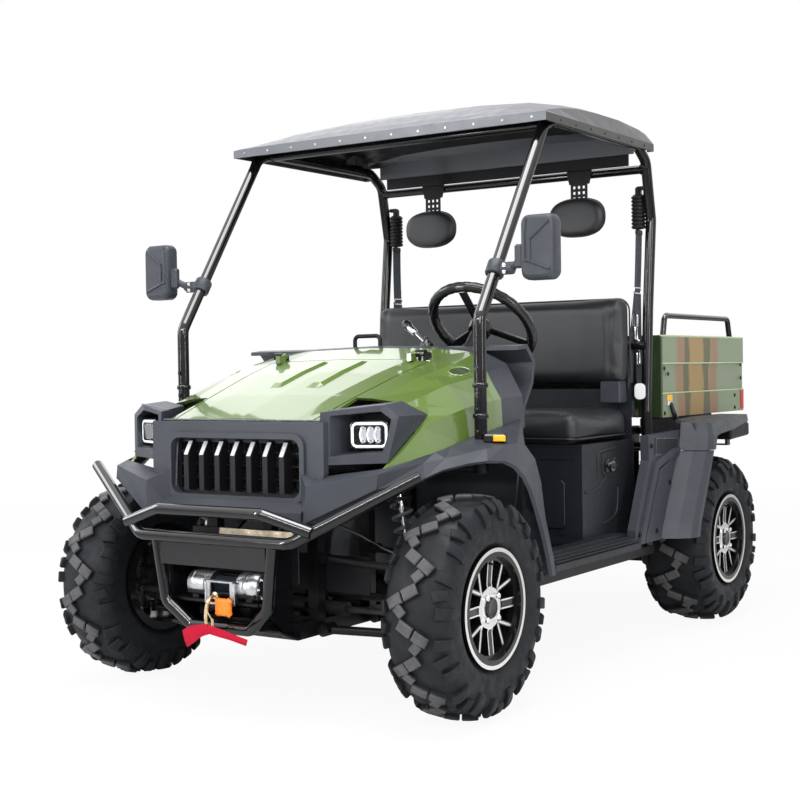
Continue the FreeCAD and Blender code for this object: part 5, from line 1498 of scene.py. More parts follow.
class UTILITY_OT_mirrors(bpy.types.Operator):
    """Door mirrors: ridged shells on two-bolt clamps, with the glass at the back"""

    bl_idname = "utility_vehicle.mirrors"
    bl_label = "Mirrors"

    def execute(self, context):
        low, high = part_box("mirrors")
        left, right, bottom, top = high[0] - 0.11, high[0], 1.24, 1.43
        middle = np.array([(left + right) / 2, behind_axle(0.234), (bottom + top) / 2])
        outline = rounded_outline(right - left, top - bottom, 0.024, 8)
        shell = stacked(raised(outline, ((0.9, -0.026), (0.97, -0.026), (1.0, -0.02), (1.0, 0.004),
                                         (0.985, 0.014), (0.93, 0.021), (0.84, 0.024))))
        shell = placed(outward(shell), middle, (1, 0, 0), (0, -1, 0))
        front = middle[1] - 0.0235
        lines = (((left + 0.014, bottom + 0.058), (left + 0.014, top - 0.06)),
                 ((left + 0.032, bottom + 0.055), (left + 0.032, top - 0.072)),
                 ((left + 0.032, top - 0.072), (right - 0.016, top - 0.022)),
                 ((left + 0.014, top - 0.06), (left + 0.02, top - 0.012)),
                 ((left + 0.03, bottom + 0.055), (right - 0.014, bottom + 0.03)),
                 ((left + 0.014, bottom + 0.058), (left + 0.032, bottom + 0.055)))
        ridges = [tube([(a[0], front, a[1]), (b[0], front, b[1])], 0.0055, (0, 1, 0), 8) for a, b in lines]
        knuckle = placed(soft_block((0.03, 0.024, 0.07), 0.006), (left - 0.012, middle[1], bottom + 0.072))
        shape = both_sides(merged(shell, *ridges, knuckle))
        piece = single("mirror_shells", shape, "slate", "slate_plastic")
        glass = placed(panel(right - left - 0.016, top - bottom - 0.016, 0.018, 0.002, steps=8), middle
                       + (0, 0.0255, 0), (-1, 0, 0), (0, 1, 0))
        pair("mirror_glasses", glass, "mirror", "slate_plastic")
        post = from_axle((0.58, 0.2624, 1.281))
        slope = (575.0 - 162.0) / (1748.0 - 1131.0)
        way = unit(np.array([0.0, slope, 1.0]))
        clamp = turned([(-0.022, 0.0192), (-0.022, 0.027), (-0.018, 0.029), (0.018, 0.029), (0.022, 0.027),
                        (0.022, 0.0192)], 32, way, post)
        arm_path = bent_path([post + (0.024, 0, 0), post + (0.075, -0.012, 0.006),
                              (left - 0.006, middle[1], 1.312)], 0.02, 6)
        arm = tube(arm_path, np.linspace(0.013, 0.01, len(arm_path)), (0, 0, 1), 12)
        lug = placed(soft_block((0.046, 0.03, 0.034), 0.006), post + (0.045, -0.006, 0.0), (1, 0, 0), way)
        pair("mirror_clamps", merged(clamp, arm, lug), "slate", "slate_plastic")
        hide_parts("mirrors")
        places = [post + (0.04, -0.022, 0.009), post + (0.04, -0.022, -0.011)]
        pair("mirror_bolts", bolts(places, (0, -1, 0), 0.0045, 0.006), "chrome", "slate_plastic", sharp=25)
        return {"FINISHED"}


class UTILITY_OT_dash_fittings(bpy.types.Operator):
    """Gauge, switches, glove box lid, shift knob sleeve, steering wheel grip and hub, pedals and floor mat"""

    bl_idname = "utility_vehicle.dash_fittings"
    bl_label = "Dash fittings"

    def execute(self, context):
        face = from_axle((0.0, 0.571, 0.968))
        out = unit(np.array([0.0, 0.98, -0.2]))
        gauge = turned([(-0.004, 0.05), (0.008, 0.05), (0.012, 0.047), (0.012, 0.042), (0.007, 0.04),
                        (0.006, 0.0)], 40, out, face + (0.333, 0, 0.01))
        single("gauge_rim", gauge, "gloss_black", "slate_plastic")
        needle = placed(soft_block((0.003, 0.03, 0.0015), 0.0004), face + (0.333, 0, 0.01) + out * 0.008,
                        (1, 0, 0), out)
        ticks = []
        for angle in np.radians(np.arange(-130, 131, 26)):
            spot = np.array([math.sin(angle) * 0.034, math.cos(angle) * 0.034, 0.0075])
            shape = placed(soft_block((0.0016, 0.006, 0.001), 0.0003), spot,
                           (math.cos(angle), -math.sin(angle), 0))
            ticks.append(placed(shape, face + (0.333, 0, 0.01), (1, 0, 0), out))
        single("gauge_marks", merged(needle, *ticks), "white", "slate_plastic")
        switches = [placed(soft_block((0.022, 0.036, 0.012), 0.003), face + (x, 0, 0.0) + out * 0.002,
                           (1, 0, 0), out) for x in (0.06, 0.095, 0.13, 0.165)]
        single("dash_switches", merged(*switches), "gloss_black", "slate_plastic")
        lid = placed(panel(0.34, 0.105, 0.016, 0.006, 0.003), face + (-0.29, 0.0, -0.004), (1, 0, 0), out)
        catch = placed(panel(0.06, 0.016, 0.006, 0.006), face + (-0.29, 0, 0.03) + out * 0.005, (1, 0, 0),
                       out)
        single("glove_box_lid", lid, "slate", "slate_plastic")
        single("glove_box_catch", catch, "black_plastic", "slate_plastic")
        self.steering()
        self.lever()
        self.floor_fittings()
        return {"FINISHED"}

    def steering(self):
        tilt = math.radians(46.0)
        axis = np.array([0.0, math.cos(tilt), math.sin(tilt)])
        centre = from_axle((0.333, 0.6, 1.128))
        side = np.array([1.0, 0.0, 0.0])
        up = np.cross(axis, side)
        turn = whole_turn(96)
        finger = 0.0008 * np.cos(turn * 34)
        circle = centre + (np.cos(turn)[:, None] * side + np.sin(turn)[:, None] * up) * 0.172
        grip = pipe(circle, 0.0168 + finger, axis, 16, True)
        pieces = []
        for degrees in (30, 150, 270):
            a = math.radians(degrees)
            way = math.cos(a) * side + math.sin(a) * up
            pieces.append(placed(soft_block((0.132, 0.03, 0.009), 0.003), centre + way * 0.098 - axis * 0.01,
                                 way, axis))
        pieces.append(turned([(-0.036, 0), (-0.036, 0.036), (-0.014, 0.04), (-0.002, 0.038), (0.006, 0.03),
                              (0.01, 0.018), (0.01, 0.0)], 40, axis, centre))
        pieces.append(turned([(-0.13, 0), (-0.13, 0.009), (-0.034, 0.009), (-0.034, 0)], 16, axis, centre))
        first = added("steering_grip", outward(grip), "steering_wheel", "gloss_black", "black_plastic")
        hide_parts("steering_wheel")
        added("steering_spokes", merged(*pieces), "steering_wheel", "gloss_black", "black_plastic")
        cap = turned([(0.006, 0.0), (0.008, 0.027), (0.012, 0.024), (0.014, 0.0)], 40, axis, centre)
        added("steering_cap", outward(cap), "steering_wheel", "slate", "black_plastic")

    def lever(self):
        foot = from_axle((0.172, 0.513, 1.069))
        knob = from_axle((0.04, 0.59, 1.14))
        way = unit(knob - foot)
        span = np.linalg.norm(knob - foot)
        stem = turned([(0.0, 0.0), (0.0, 0.0045), (span * 0.62, 0.0045), (span * 0.62, 0.0)], 16, way, foot)
        sleeve = turned([(span * 0.52, 0.0), (span * 0.52, 0.009), (span * 0.56, 0.0115),
                         (span * 0.8, 0.0125), (span * 0.82, 0.0)], 24, way, foot)
        grip = turned([(span * 0.8, 0.0), (span * 0.8, 0.014), (span * 0.86, 0.0165), (span * 0.98, 0.0165),
                       (span * 1.04, 0.012), (span * 1.07, 0.0)], 24, way, foot)
        gate = turned([(-0.01, 0.0), (-0.01, 0.022), (0.002, 0.02), (0.01, 0.012), (0.024, 0.008),
                       (0.026, 0.0)], 28, (0, 0, 1), foot)
        first = single("shift_knob", merged(outward(grip), outward(gate)), "gloss_black", "black_plastic")
        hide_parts("shift_lever")
        single("shift_sleeve", merged(outward(stem), outward(sleeve)), "chrome", "black_plastic")

    def floor_fittings(self):
        low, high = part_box("floor_pan")
        ribs = []
        for y in np.arange(low[1] + 0.05, high[1] - 0.05, 0.045):
            for s in (-1, 1):
                ribs.append(placed(soft_block((0.36, 0.012, 0.004), 0.0015), (s * 0.28, y, high[2] + 0.001)))
        single("floor_mat_ribs", merged(*ribs), "rubber", "black_plastic")
        for name, x, wide in (("brake", 0.27, 0.075), ("throttle", 0.41, 0.055)):
            pad = block((wide, 0.012, 0.08), 0.004, (x, 0.52, 0.47), (1, 0, 0), (0, -0.4, 1))
            stem = rod([(x, 0.515, 0.48), (x, 0.49, 0.62), (x, 0.455, 0.66)], 0.007, (1, 0, 0), 10)
            single(name + "_pedal", merged(pad, stem), "black_plastic", "black_plastic")


class UTILITY_OT_seat_base(bpy.types.Operator):
    """Pressed panels, latches and screws of the seat base, and the sills' ribs"""

    bl_idname = "utility_vehicle.seat_base"
    bl_label = "Seat base"

    def execute(self, context):
        front = behind_axle(0.881)
        panels = []
        for x, wide, tall in ((-0.335, 0.3, 0.165), (0.335, 0.3, 0.165), (-0.105, 0.155, 0.2),
                              (0.105, 0.155, 0.2)):
            pressed = panel(wide, tall, 0.018, 0.005, 0.003)
            panels.append(placed(pressed, (x, front + 0.002, 0.52), (1, 0, 0), (0, -1, 0)))
        single("seat_base_panels", merged(*panels), "dark_slate", "black_plastic")
        side_x = 0.548
        y = behind_axle(1.0)
        ridge = bent_path([(side_x, y - 0.095, 0.56), (side_x, y - 0.01, 0.56), (side_x, y + 0.06, 0.6),
                           (side_x, y + 0.145, 0.665)], 0.03, 6)
        hollow = bent_path([(side_x, y + 0.04, 0.44), (side_x, y + 0.13, 0.455), (side_x, y + 0.16, 0.48),
                            (side_x, y + 0.165, 0.56)], 0.03, 6)
        upper = bent_path([(side_x, y + 0.005, 0.61), (side_x, y + 0.005, 0.69), (side_x, y + 0.15, 0.7)],
                          0.02, 6)
        lines = [tube(path, 0.0045, (1, 0, 0), 10) for path in (ridge, hollow, upper)]
        pocket = placed(panel(0.085, 0.085, 0.018, 0.003, 0.002), (side_x, y + 0.08, 0.648), (0, 1, 0),
                        (1, 0, 0))
        pair("seat_base_ridges", merged(*lines, pocket), "dark_slate", "black_plastic")
        knob = turned([(0.0, 0.0), (0.0, 0.026), (0.006, 0.026), (0.009, 0.018), (0.022, 0.015),
                       (0.026, 0.012), (0.026, 0.0)], 28, (1, 0, 0), (side_x + 0.002, y + 0.08, 0.64))
        ears = placed(soft_block((0.01, 0.046, 0.013), 0.003), (side_x + 0.024, y + 0.08, 0.64))
        pair("seat_base_latches", merged(outward(knob), ears), "gloss_black", "black_plastic")
        ring = turned([(0.02, 0.017), (0.0245, 0.017), (0.0245, 0.013), (0.02, 0.013), (0.02, 0.017)], 28,
                      (1, 0, 0), (side_x + 0.001, y + 0.08, 0.64))
        pair("latch_rings", outward(ring), "chrome", "black_plastic")
        places = [(s * x, front + 0.003, z) for s in (-1, 1)
                  for x, z in ((0.2, 0.42), (0.47, 0.42), (0.2, 0.66), (0.035, 0.66), (0.035, 0.42))]
        foot = block((0.078, 0.062, 0.078), 0.004, (0.487, 1.27, 0.893))
        pair("backrest_feet", foot, "slate", "black_plastic")
        single("seat_base_screws", bolts(places, (0, -1, 0), 0.005, 0.005), "black_plastic", "black_plastic",
               sharp=25)
        sill_low, sill_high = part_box("rockers")
        steps = [placed(soft_block((0.006, sill_high[1] - sill_low[1] - 0.03, 0.004), 0.0012),
                        (x, (sill_low[1] + sill_high[1]) / 2, z))
                 for z, x in ((0.3905, 0.617), (0.378, 0.646))]
        for rib_y in np.arange(sill_low[1] + 0.05, sill_high[1] - 0.04, 0.022):
            steps.append(placed(soft_block((0.04, 0.006, 0.003), 0.001), (0.572, rib_y, 0.4025)))
        pair("sill_ribs", merged(*steps), "dark_slate", "slate_plastic")
        return {"FINISHED"}


# Body trim

class UTILITY_OT_front_trim(bpy.types.Operator):
    """Grille mesh with painted highlights on its bar heads, hinge covers, recesses with painted shade, reflectors,
    guard panels, edges with painted highlights, the splash curtain and a dark plate of painted shade behind the
    winch
    """

    bl_idname = "utility_vehicle.front_trim"
    bl_label = "Front trim"

    def execute(self, context):
        self.grille()
        self.hood()
        self.sides()
        self.edges()
        self.under()
        return {"FINISHED"}

    def grille(self):
        # Light grey sheets on the bars' tops are painted highlights.
        heads = []
        for number in range(7):
            x = (number - 3) * 0.06
            head = prism((-0.0072, 0.0), (0.0072, 0.0), (0.0072, 0.046), (-0.0072, 0.046), depth=0.0014)
            heads.append(placed(outward(head), from_axle((x, -0.2725, 0.7435)), (1, 0, 0), (0, -0.86, 0.51)))
        single("grille_bar_painted_highlights", merged(*heads), "painted_highlight_grey", "black_plastic", smooth=False)
        wires = []
        for x in np.arange(-0.222, 0.223, 0.012):
            wires.append(rod([(x, -0.227, 0.64), (x, -0.227, 0.782)], 0.0011, (1, 0, 0), 5))
        for z in np.arange(0.646, 0.782, 0.012):
            wires.append(rod([(-0.226, -0.229, z), (0.226, -0.229, z)], 0.0011, (0, 0, 1), 5))
        single("grille_mesh", merged(*wires), "gloss_black", "black_plastic")
        fins = [block((0.32, 0.003, 0.0016), 0.0004, (0, -0.2178, z)) for z in np.arange(0.6, 0.795, 0.009)]
        single("radiator_fins", merged(*fins), "cast", "cast_steel")

    def hood(self):
        cover = block((0.03, 0.048, 0.034), 0.006, (0.284, 0.325, 1.024))
        cap = turned([(0.0, 0.0), (0.0, 0.0115), (0.034, 0.0115), (0.034, 0.0)], 20, (1, 0, 0),
                     from_axle((0.266, 0.306, 1.036)))
        pair("hood_hinge_covers", merged(cover, outward(cap)), "gloss_black", "black_plastic")
        turn = whole_turn(40)
        out = unit(np.array([0.37, -0.3, 0.88]))
        rim = np.column_stack([0.036 * np.cos(turn), 0.024 * np.sin(turn), np.zeros(40)])
        centre = from_axle((0.446, 0.265, 0.977))
        rims = placed(tube(rim, 0.0035, (0, 0, 1), 10, True), centre, (0.4, 0.9, 0.1), out)
        # The recess plate is a darker green: painted shade in the recess.
        dish = placed(outward(plate(rim[:, :2], 0.002)), centre, (0.4, 0.9, 0.1), out)
        pair("side_recess_rims", rims, "paint", "green_gloss")
        pair("side_recess_plates", dish, "recess_painted_shade", "green_gloss")

    def sides(self):
        base = block((0.066, 0.026, 0.026), 0.005, (0.64, 0.14, 0.783), (0.93, 0.3, 0.0))
        slab = block((0.036, 0.006, 0.018), 0.002, (0.659, 0.131, 0.784), (0.93, 0.3, 0.0))
        pair("front_reflector_mounts", base, "gloss_black", "slate_plastic")
        pair("front_reflectors", slab, "amber", "lamp_glass")
        places = [(0.6375, y, z) for y, z in ((1.15, 0.395), (1.3, 0.395), (1.26, 0.7), (1.51, 0.62),
                                              (1.42, 0.56))]
        shape = bolts(from_axle(places), (1, 0, 0), 0.0065, 0.006)
        pair("guard_fasteners", shape, "gloss_black", "slate_plastic", sharp=25)
        flap = block((0.118, 0.2, 0.052), 0.006, (0.672, 1.9, 0.728), (1, 0, 0), (0, -0.05, 1))
        pair("rear_flaps", flap, "black_plastic", "slate_plastic")
        rail = block((0.05, 0.6, 0.058), 0.004, (0.535, 1.745, 0.763))
        pair("bed_rest_rails", rail, "black_plastic", "black_steel")
        loop = from_axle([(0.6365, 1.292, 0.726), (0.6365, 1.506, 0.716), (0.6365, 1.494, 0.652),
                          (0.6365, 1.286, 0.668)])
        rim = tube(bent_path(np.concatenate([loop[3:], loop, loop[:1]]), 0.01, 5)[5:-5], 0.0022, (1, 0, 0),
                   8, True)
        facing = placed(outward(prism(*[(p[1], p[2]) for p in loop], depth=0.0016)), (0.6362, 0, 0),
                        (0, 1, 0), (1, 0, 0))
        # The guard panel rims are lighter slate: painted highlight.
        pair("guard_panel_rims", rim, "slate_painted_highlight", "slate_plastic")
        pair("guard_panels", facing, "dark_slate", "slate_plastic", smooth=False)

    def edges(self):
        """Rounded moulded edges: thin beads along the nose's top edge, the grille surround and the lamp boxes, in
        a lighter slate that is a painted highlight."""
        routes = [[(-0.3, -0.2385, 0.846), (0.3, -0.2385, 0.846)],
                  [(0.238, -0.2425, 0.793), (0.242, -0.2515, 0.63)],
                  [(-0.238, -0.2425, 0.793), (-0.242, -0.2515, 0.63)],
                  [(-0.222, -0.2425, 0.8035), (0.222, -0.2425, 0.8035)],
                  [(-0.226, -0.252, 0.618), (0.226, -0.252, 0.618)],
                  [(0.305, -0.213, 0.873), (0.462, -0.16, 0.889)],
                  [(-0.305, -0.213, 0.873), (-0.462, -0.16, 0.889)]]
        beads = [rod(route, 0.0028, (0, 1, 0.2), 10) for route in routes]
        single("nose_edges", merged(*beads), "slate_painted_highlight", "slate_plastic")

    def under(self):
        # Three thin black plates: the splash curtain under the floor, a plate behind the winch that stands for the
        # shade there (painted shade), and a plate behind the nose.
        curtain = [block((0.6, 0.015, 0.095), 0.0015, (0.0, 0.4475, 0.2825)),
                   block((0.4, 0.005, 0.15), 0.002, (0.01, -0.236, 0.455)),
                   block((0.29, 0.005, 0.11), 0.002, (0.215, -0.1, 0.395))]
        single("splash_curtain_and_shade_plate", merged(*curtain), "black_plastic", "black_steel")
        cover = block((0.27, 0.004, 0.03), 0.001, (0.105, -0.3, 0.522), (1, 0, 0), (0, 0.15, 1))
        brace = [rod([(s * 0.02 + 0.1, -0.3, 0.522), (s * 0.02 + 0.1, -0.232, 0.56)], 0.005, (1, 0, 0),
                     8) for s in (-4, 4)]
        single("bumper_infill", cover, "bronze", "black_steel")
        single("bumper_infill_stays", merged(*brace), "frame", "black_steel")
        hose = bent_path(from_axle([(0.22, -0.15, 0.56), (0.3, -0.09, 0.52), (0.36, -0.04, 0.47),
                                    (0.44, 0.01, 0.43)]), 0.04, 6)
        lines = tube(hose, 0.0035, (0, 0, 1), 8)
        pair("brake_lines", lines, "gloss_black", "black_steel")


class UTILITY_OT_cage_trim(bpy.types.Operator):
    """Rivets and valance of the roof, weld beads and cage clamps"""

    bl_idname = "utility_vehicle.cage_trim"
    bl_label = "Cage trim"

    def execute(self, context):
        low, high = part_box("roof")
        places = [(x, low[1] + 0.0015, low[2] + 0.014) for x in np.linspace(-0.58, 0.58, 12)]
        single("roof_front_rivets", bolts(places, (0, -1, 0), 0.0042, 0.0035), "zinc", "roof_black",
               sharp=25)
        side = [(high[0] - 0.0015, y, low[2] + 0.012) for y in np.linspace(low[1] + 0.1, high[1] - 0.08, 7)]
        pair("roof_side_rivets", bolts(side, (1, 0, 0), 0.0042, 0.0035), "gloss_black", "roof_black",
             sharp=25)
        valance = block((1.06, 0.005, 0.06), 0.002, (0, 1.331, 1.741))
        single("roof_valance", valance, "black_plastic", "roof_black")
        beads = []
        for y, z, across in ((1.37, 1.7, 0.016), (0.64, 1.765, 0.014), (1.345, 1.06, 0.014)):
            ring = turned([(0.0, 0.0), (0.0, across + 0.0035), (0.004, across + 0.0025), (0.006, across),
                           (0.006, 0.0)], 28, (-1, 0, 0), from_axle((0.58 - 0.0175, y, z)))
            beads.append(outward(ring))
        pair("cage_welds", merged(*beads), "tube", "black_tube")
        places = [(0.58, 0.162 - 0.0185, z) for z in (0.8, 0.865, 0.91, 0.985)]
        post_heads = bolts(from_axle(places), (0.0, -1.0, 0.0), 0.006, 0.006)
        band = [(0, 0.0188), (0, 0.0225), (0.0035, 0.0235), (0.01, 0.0235), (0.0135, 0.0225),
                (0.0135, 0.0188)]
        collars = [turned(band, 32, (0, 0, 1), from_axle((0.58, 0.162, z))) for z in (0.93, 0.84)]
        pair("post_bolts", post_heads, "gloss_black", "black_tube", sharp=25)
        pair("post_collars", merged(*collars), "tube", "black_tube")
        return {"FINISHED"}


class UTILITY_OT_bed_trim(bpy.types.Operator):
    """Ledges, latch levers, reflectors and bolts of the load bed, and the ribs and catches of its gate"""

    bl_idname = "utility_vehicle.bed_trim"
    bl_label = "Bed trim"

    def execute(self, context):
        x = 0.606
        front, rear = behind_axle(1.434), behind_axle(2.282)
        middle = (front + rear) / 2
        ledges = []
        for z in (0.8835, 0.9935):
            ledges.append(placed(soft_block((0.007, rear - front, 0.005), 0.0018), (x - 0.001, middle, z)))
        ledges.append(placed(soft_block((0.012, rear - front + 0.004, 0.008), 0.003),
                             (x - 0.004, middle, 1.0955)))
        # The ledges are a lighter green: painted highlight.
        pair("bed_side_ledges", merged(*ledges), "ledge_painted_highlight", "bed_green", body="cargo_bed")
        # A dark green strip at the bed's front edge: painted shade.
        edge = placed(soft_block((0.014, 0.01, 0.296), 0.003), (x - 0.006, front + 0.001, 0.9465))
        pair("bed_front_edges", edge, "painted_shade_green", "bed_green", body="cargo_bed")
        lever = bent_path([(x + 0.004, behind_axle(1.5), 0.846), (x + 0.006, behind_axle(1.52), 0.815),
                           (x + 0.004, behind_axle(1.545), 0.79)], 0.01, 5)
        grip = tube(lever, np.linspace(0.008, 0.0105, len(lever)), (1, 0, 0), 12)
        pair("bed_latch_levers", grip, "gloss_black", "bed_green", body="cargo_bed")
        amber = placed(soft_block((0.004, 0.044, 0.022), 0.0014), (x + 0.0015, behind_axle(1.5), 0.866))
        clear = placed(soft_block((0.004, 0.04, 0.016), 0.0014), (x + 0.0015, behind_axle(1.502), 0.846))
        pair("bed_amber_reflectors", amber, "amber", "lamp_glass", body="cargo_bed")
        pair("bed_white_reflectors", clear, "white", "lamp_glass", body="cargo_bed")
        red = placed(soft_block((0.004, 0.03, 0.078), 0.0014), (x + 0.0015, behind_axle(2.262), 0.842))
        pair("bed_red_reflectors", red, "red", "lamp_red", body="cargo_bed")
        places = [(x, from_axle((0, y, 0))[1], z) for y, z in ((1.455, 0.975), (1.455, 0.81), (1.49, 0.955),
                                                               (2.18, 0.81), (2.18, 0.86), (2.25, 0.985),
                                                               (2.25, 0.93))]
        pair("bed_bolts", bolts(places, (1, 0, 0), 0.0055, 0.004), "gloss_black", "bed_green",
             body="cargo_bed", sharp=25)
        self.gate()
        return {"FINISHED"}

    def gate(self):
        ribs = []
        back = behind_axle(2.286)
        for z in (0.842, 0.9, 0.958):
            ribs.append(placed(soft_block((0.98, 0.006, 0.02), 0.0025), (0, back + 0.001, z)))
        added("tailgate_ribs", merged(*ribs), "tailgate", "bed", "bed_green")
        knob = outward(turned([(0.0, 0.0), (0.0, 0.01), (0.006, 0.01), (0.008, 0.016), (0.018, 0.016),
                               (0.022, 0.012), (0.022, 0.0)], 20, (0, 1, 0), (0.52, back, 1.03)))
        pair("tailgate_catches", knob, "gloss_black", "bed_green", body="tailgate")
        plates = placed(soft_block((0.07, 0.005, 0.044), 0.0016), (0.5, back + 0.001, 1.03))
        pair("tailgate_catch_plates", plates, "black_plastic", "bed_green", body="tailgate")


# Stage

class UTILITY_OT_stage(bpy.types.Operator):
    """Pale floor, soft light and the camera at the photographed angle"""

    bl_idname = "utility_vehicle.stage"
    bl_label = "Stage"

    camera_place = (2.652, -4.3273, 0.9877)
    camera_azimuth = 33.694
    camera_drop = 1.268
    camera_roll = -0.864
    camera_lens = 62.95

    def execute(self, context):
        scene = context.scene
        scene.view_settings.view_transform = "Standard"
        self.make_camera(scene)
        self.make_floor(context)
        self.make_world(scene)
        self.make_lamps(context)
        return {"FINISHED"}

    def make_camera(self, scene):
        data = bpy.data.cameras.new("view_camera")
        data.lens = self.camera_lens
        data.sensor_width = 36.0
        camera = bpy.data.objects.new("view_camera", data)
        azimuth, drop, roll = (math.radians(v) for v in (self.camera_azimuth, self.camera_drop,
                                                         self.camera_roll))
        ahead = Vector((-math.sin(azimuth) * math.cos(drop), math.cos(azimuth) * math.cos(drop),
                        -math.sin(drop)))
        level = Vector((math.cos(azimuth), math.sin(azimuth), 0.0))
        upright = level.cross(ahead)
        right = level * math.cos(roll) + upright * math.sin(roll)
        up = upright * math.cos(roll) - level * math.sin(roll)
        camera.matrix_world = Matrix.Translation(self.camera_place) @ Matrix((right, up,
                                                                              -ahead)).transposed().to_4x4()
        scene.collection.objects.link(camera)
        scene.camera = camera

    def make_floor(self, context):
        size = 40.0
        corners = [(-size, -size, 0), (size, -size, 0), (size, size, 0), (-size, size, 0)]
        mesh = bpy.data.meshes.new("floor")
        mesh.from_pydata(corners, [], [(0, 1, 2, 3)])
        floor = bpy.data.objects.new("floor", mesh)
        context.scene.collection.objects.link(floor)
        material = bpy.data.materials.new("floor_white")
        material.use_nodes = True
        tree = material.node_tree
        shader = tree.nodes["Principled BSDF"]
        shader.inputs["Base Color"].default_value = (0.82, 0.82, 0.82, 1)
        shader.inputs["Roughness"].default_value = 0.9
        glow, ray, share, place, away, fade, seen, mixed = (tree.nodes.new("ShaderNode" + kind)
                                                            for kind in ("Emission", "LightPath", "Math",
                                                                         "TexCoord", "VectorMath",
                                                                         "MapRange", "Math", "MixShader"))
        glow.inputs["Strength"].default_value = 1.0
        share.operation = "MULTIPLY"
        away.operation = "LENGTH"
        seen.operation = "MAXIMUM"
        for socket, value in (("From Min", 2.6), ("From Max", 7.0), ("To Min", 0.93), ("To Max", 1.0)):
            fade.inputs[socket].default_value = value
        for source, target in ((place.outputs["Object"], away.inputs[0]),
                               (away.outputs["Value"], fade.inputs["Value"]),
                               (fade.outputs[0], share.inputs[1]),
                               (ray.outputs["Is Camera Ray"], seen.inputs[0]),
                               (ray.outputs["Is Transmission Ray"], seen.inputs[1]),
                               (seen.outputs[0], share.inputs[0]), (share.outputs[0], mixed.inputs["Fac"]),
                               (shader.outputs[0], mixed.inputs[1]), (glow.outputs[0], mixed.inputs[2]),
                               (mixed.outputs[0], tree.nodes["Material Output"].inputs["Surface"])):
            tree.links.new(source, target)
        mesh.materials.append(material)

    def make_world(self, scene):
        world = bpy.data.worlds.new("soft_room")
        world.use_nodes = True
        tree = world.node_tree
        tree.nodes.clear()
        ray, out, room, shown, direct, seen, mixed = (tree.nodes.new("ShaderNode" + kind)
                                                      for kind in ("LightPath", "OutputWorld", "Background",
                                                                   "Background", "Math", "Math",
                                                                   "MixShader"))
        for light, colour, strength in ((room, (0.92, 0.96, 1.0, 1), 0.31), (shown, (1, 1, 1, 1), 1.0)):
            light.inputs["Color"].default_value = colour
            light.inputs["Strength"].default_value = strength
        direct.operation = "MAXIMUM"
        seen.operation = "MAXIMUM"
        for source, target in ((ray.outputs["Is Camera Ray"], direct.inputs[0]),
                               (ray.outputs["Is Glossy Ray"], direct.inputs[1]),
                               (direct.outputs[0], seen.inputs[0]),
                               (ray.outputs["Is Transmission Ray"], seen.inputs[1]),
                               (seen.outputs[0], mixed.inputs["Fac"]), (room.outputs[0], mixed.inputs[1]),
                               (shown.outputs[0], mixed.inputs[2]),
                               (mixed.outputs[0], out.inputs["Surface"])):
            tree.links.new(source, target)
        scene.world = world

    def make_lamps(self, context):
        white, warm, cool = (1.0, 1.0, 1.0), (1.0, 0.98, 0.95), (0.92, 0.96, 1.0)
        lamps = (("sky_panel", (0.6, -1.2, 5.2), (0.2, 0.0, 0.6), 3.6, 3.6, 265.0, white),
                 ("front_panel", (3.4, -4.6, 3.0), (0.2, -0.2, 0.8), 2.0, 2.0, 105.0, warm),
                 ("far_panel", (-4.5, -2.0, 2.6), (0.0, 0.0, 0.8), 2.4, 2.4, 70.0, cool),
                 ("back_panel", (-3.6, 2.2, 3.9), (0.0, -0.8, 1.0), 4.0, 3.2, 34.0, white),
                 ("front_strip", (0.4, -5.4, 3.4), (0.2, -1.2, 0.7), 3.4, 0.18, 75.0, white),
                 ("left_strip", (-2.6, -5.2, 1.9), (0.2, -0.4, 1.0), 0.2, 2.6, 75.0, white),
                 ("right_strip", (5.6, -1.8, 2.2), (0.4, 0.2, 1.1), 0.2, 2.6, 75.0, white))
        for name, place, target, width, height, power, colour in lamps:
            data = bpy.data.lights.new(name, "AREA")
            data.shape = "RECTANGLE"
            data.size = width
            data.size_y = height
            data.energy = power
            data.color = colour
            lamp = bpy.data.objects.new(name, data)
            direction = Vector(target) - Vector(place)
            lamp.matrix_world = Matrix.Translation(place) @ direction.to_track_quat("-Z",
                                                                                    "Y").to_matrix().to_4x4()
            context.scene.collection.objects.link(lamp)


OPERATORS = (UTILITY_OT_stage, UTILITY_OT_seats, UTILITY_OT_node_finishes, UTILITY_OT_tyres,
             UTILITY_OT_headlights, UTILITY_OT_tail_lamps, UTILITY_OT_wheel_hardware, UTILITY_OT_dampers,
             UTILITY_OT_winch, UTILITY_OT_belts, UTILITY_OT_mirrors, UTILITY_OT_dash_fittings,
             UTILITY_OT_seat_base, UTILITY_OT_front_trim, UTILITY_OT_cage_trim, UTILITY_OT_bed_trim)


class UTILITY_PT_looks(bpy.types.Panel):
    """Buttons for each group of pieces"""

    bl_idname = "UTILITY_PT_looks"
    bl_label = "Utility Vehicle"
    bl_space_type = "VIEW_3D"
    bl_region_type = "UI"
    bl_category = "Utility Vehicle"

    def draw(self, context):
        for group in (context.scene.utility_vehicle_sizes, context.scene.utility_vehicle_colours):
            for name in group.__annotations__:
                self.layout.prop(group, name)
        for operator in OPERATORS:
            self.layout.operator(operator.bl_idname)


CLASSES = (VehicleSizes, VehicleColours, *OPERATORS, UTILITY_PT_looks)


def register():
    for cls in CLASSES:
        bpy.utils.register_class(cls)
    bpy.types.Scene.utility_vehicle_sizes = bpy.props.PointerProperty(type=VehicleSizes)
    bpy.types.Scene.utility_vehicle_colours = bpy.props.PointerProperty(type=VehicleColours)


def unregister():
    del bpy.types.Scene.utility_vehicle_colours
    del bpy.types.Scene.utility_vehicle_sizes
    for cls in reversed(CLASSES):
        bpy.utils.unregister_class(cls)


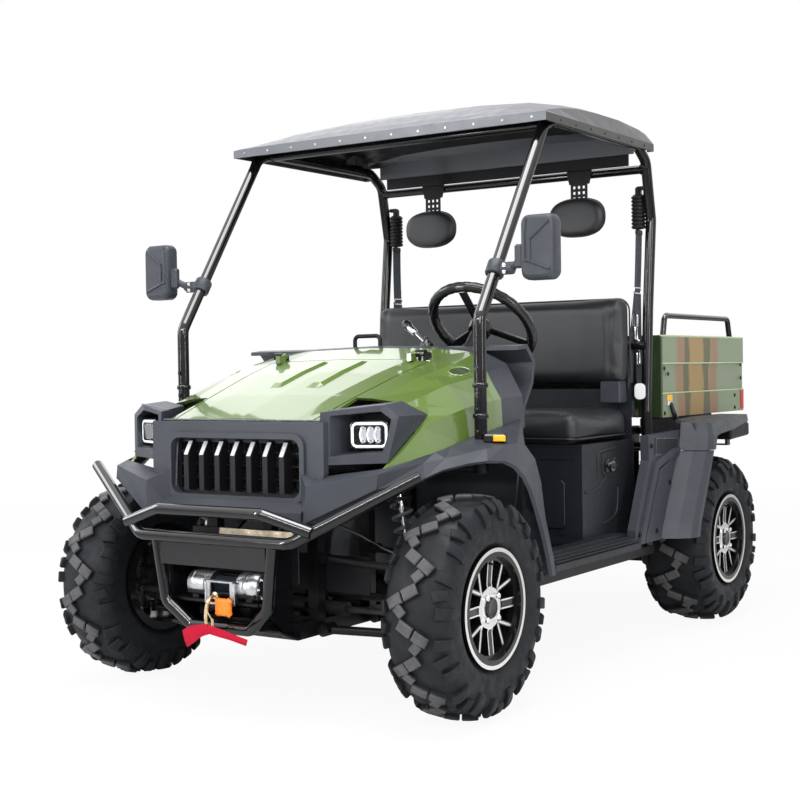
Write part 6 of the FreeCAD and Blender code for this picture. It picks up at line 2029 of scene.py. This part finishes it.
def main():
    """Registers the add-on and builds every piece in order."""
    register()
    for operator in OPERATORS:
        group, name = operator.bl_idname.split(".")
        getattr(getattr(bpy.ops, group), name)()


if __name__ == "__main__":
    main()
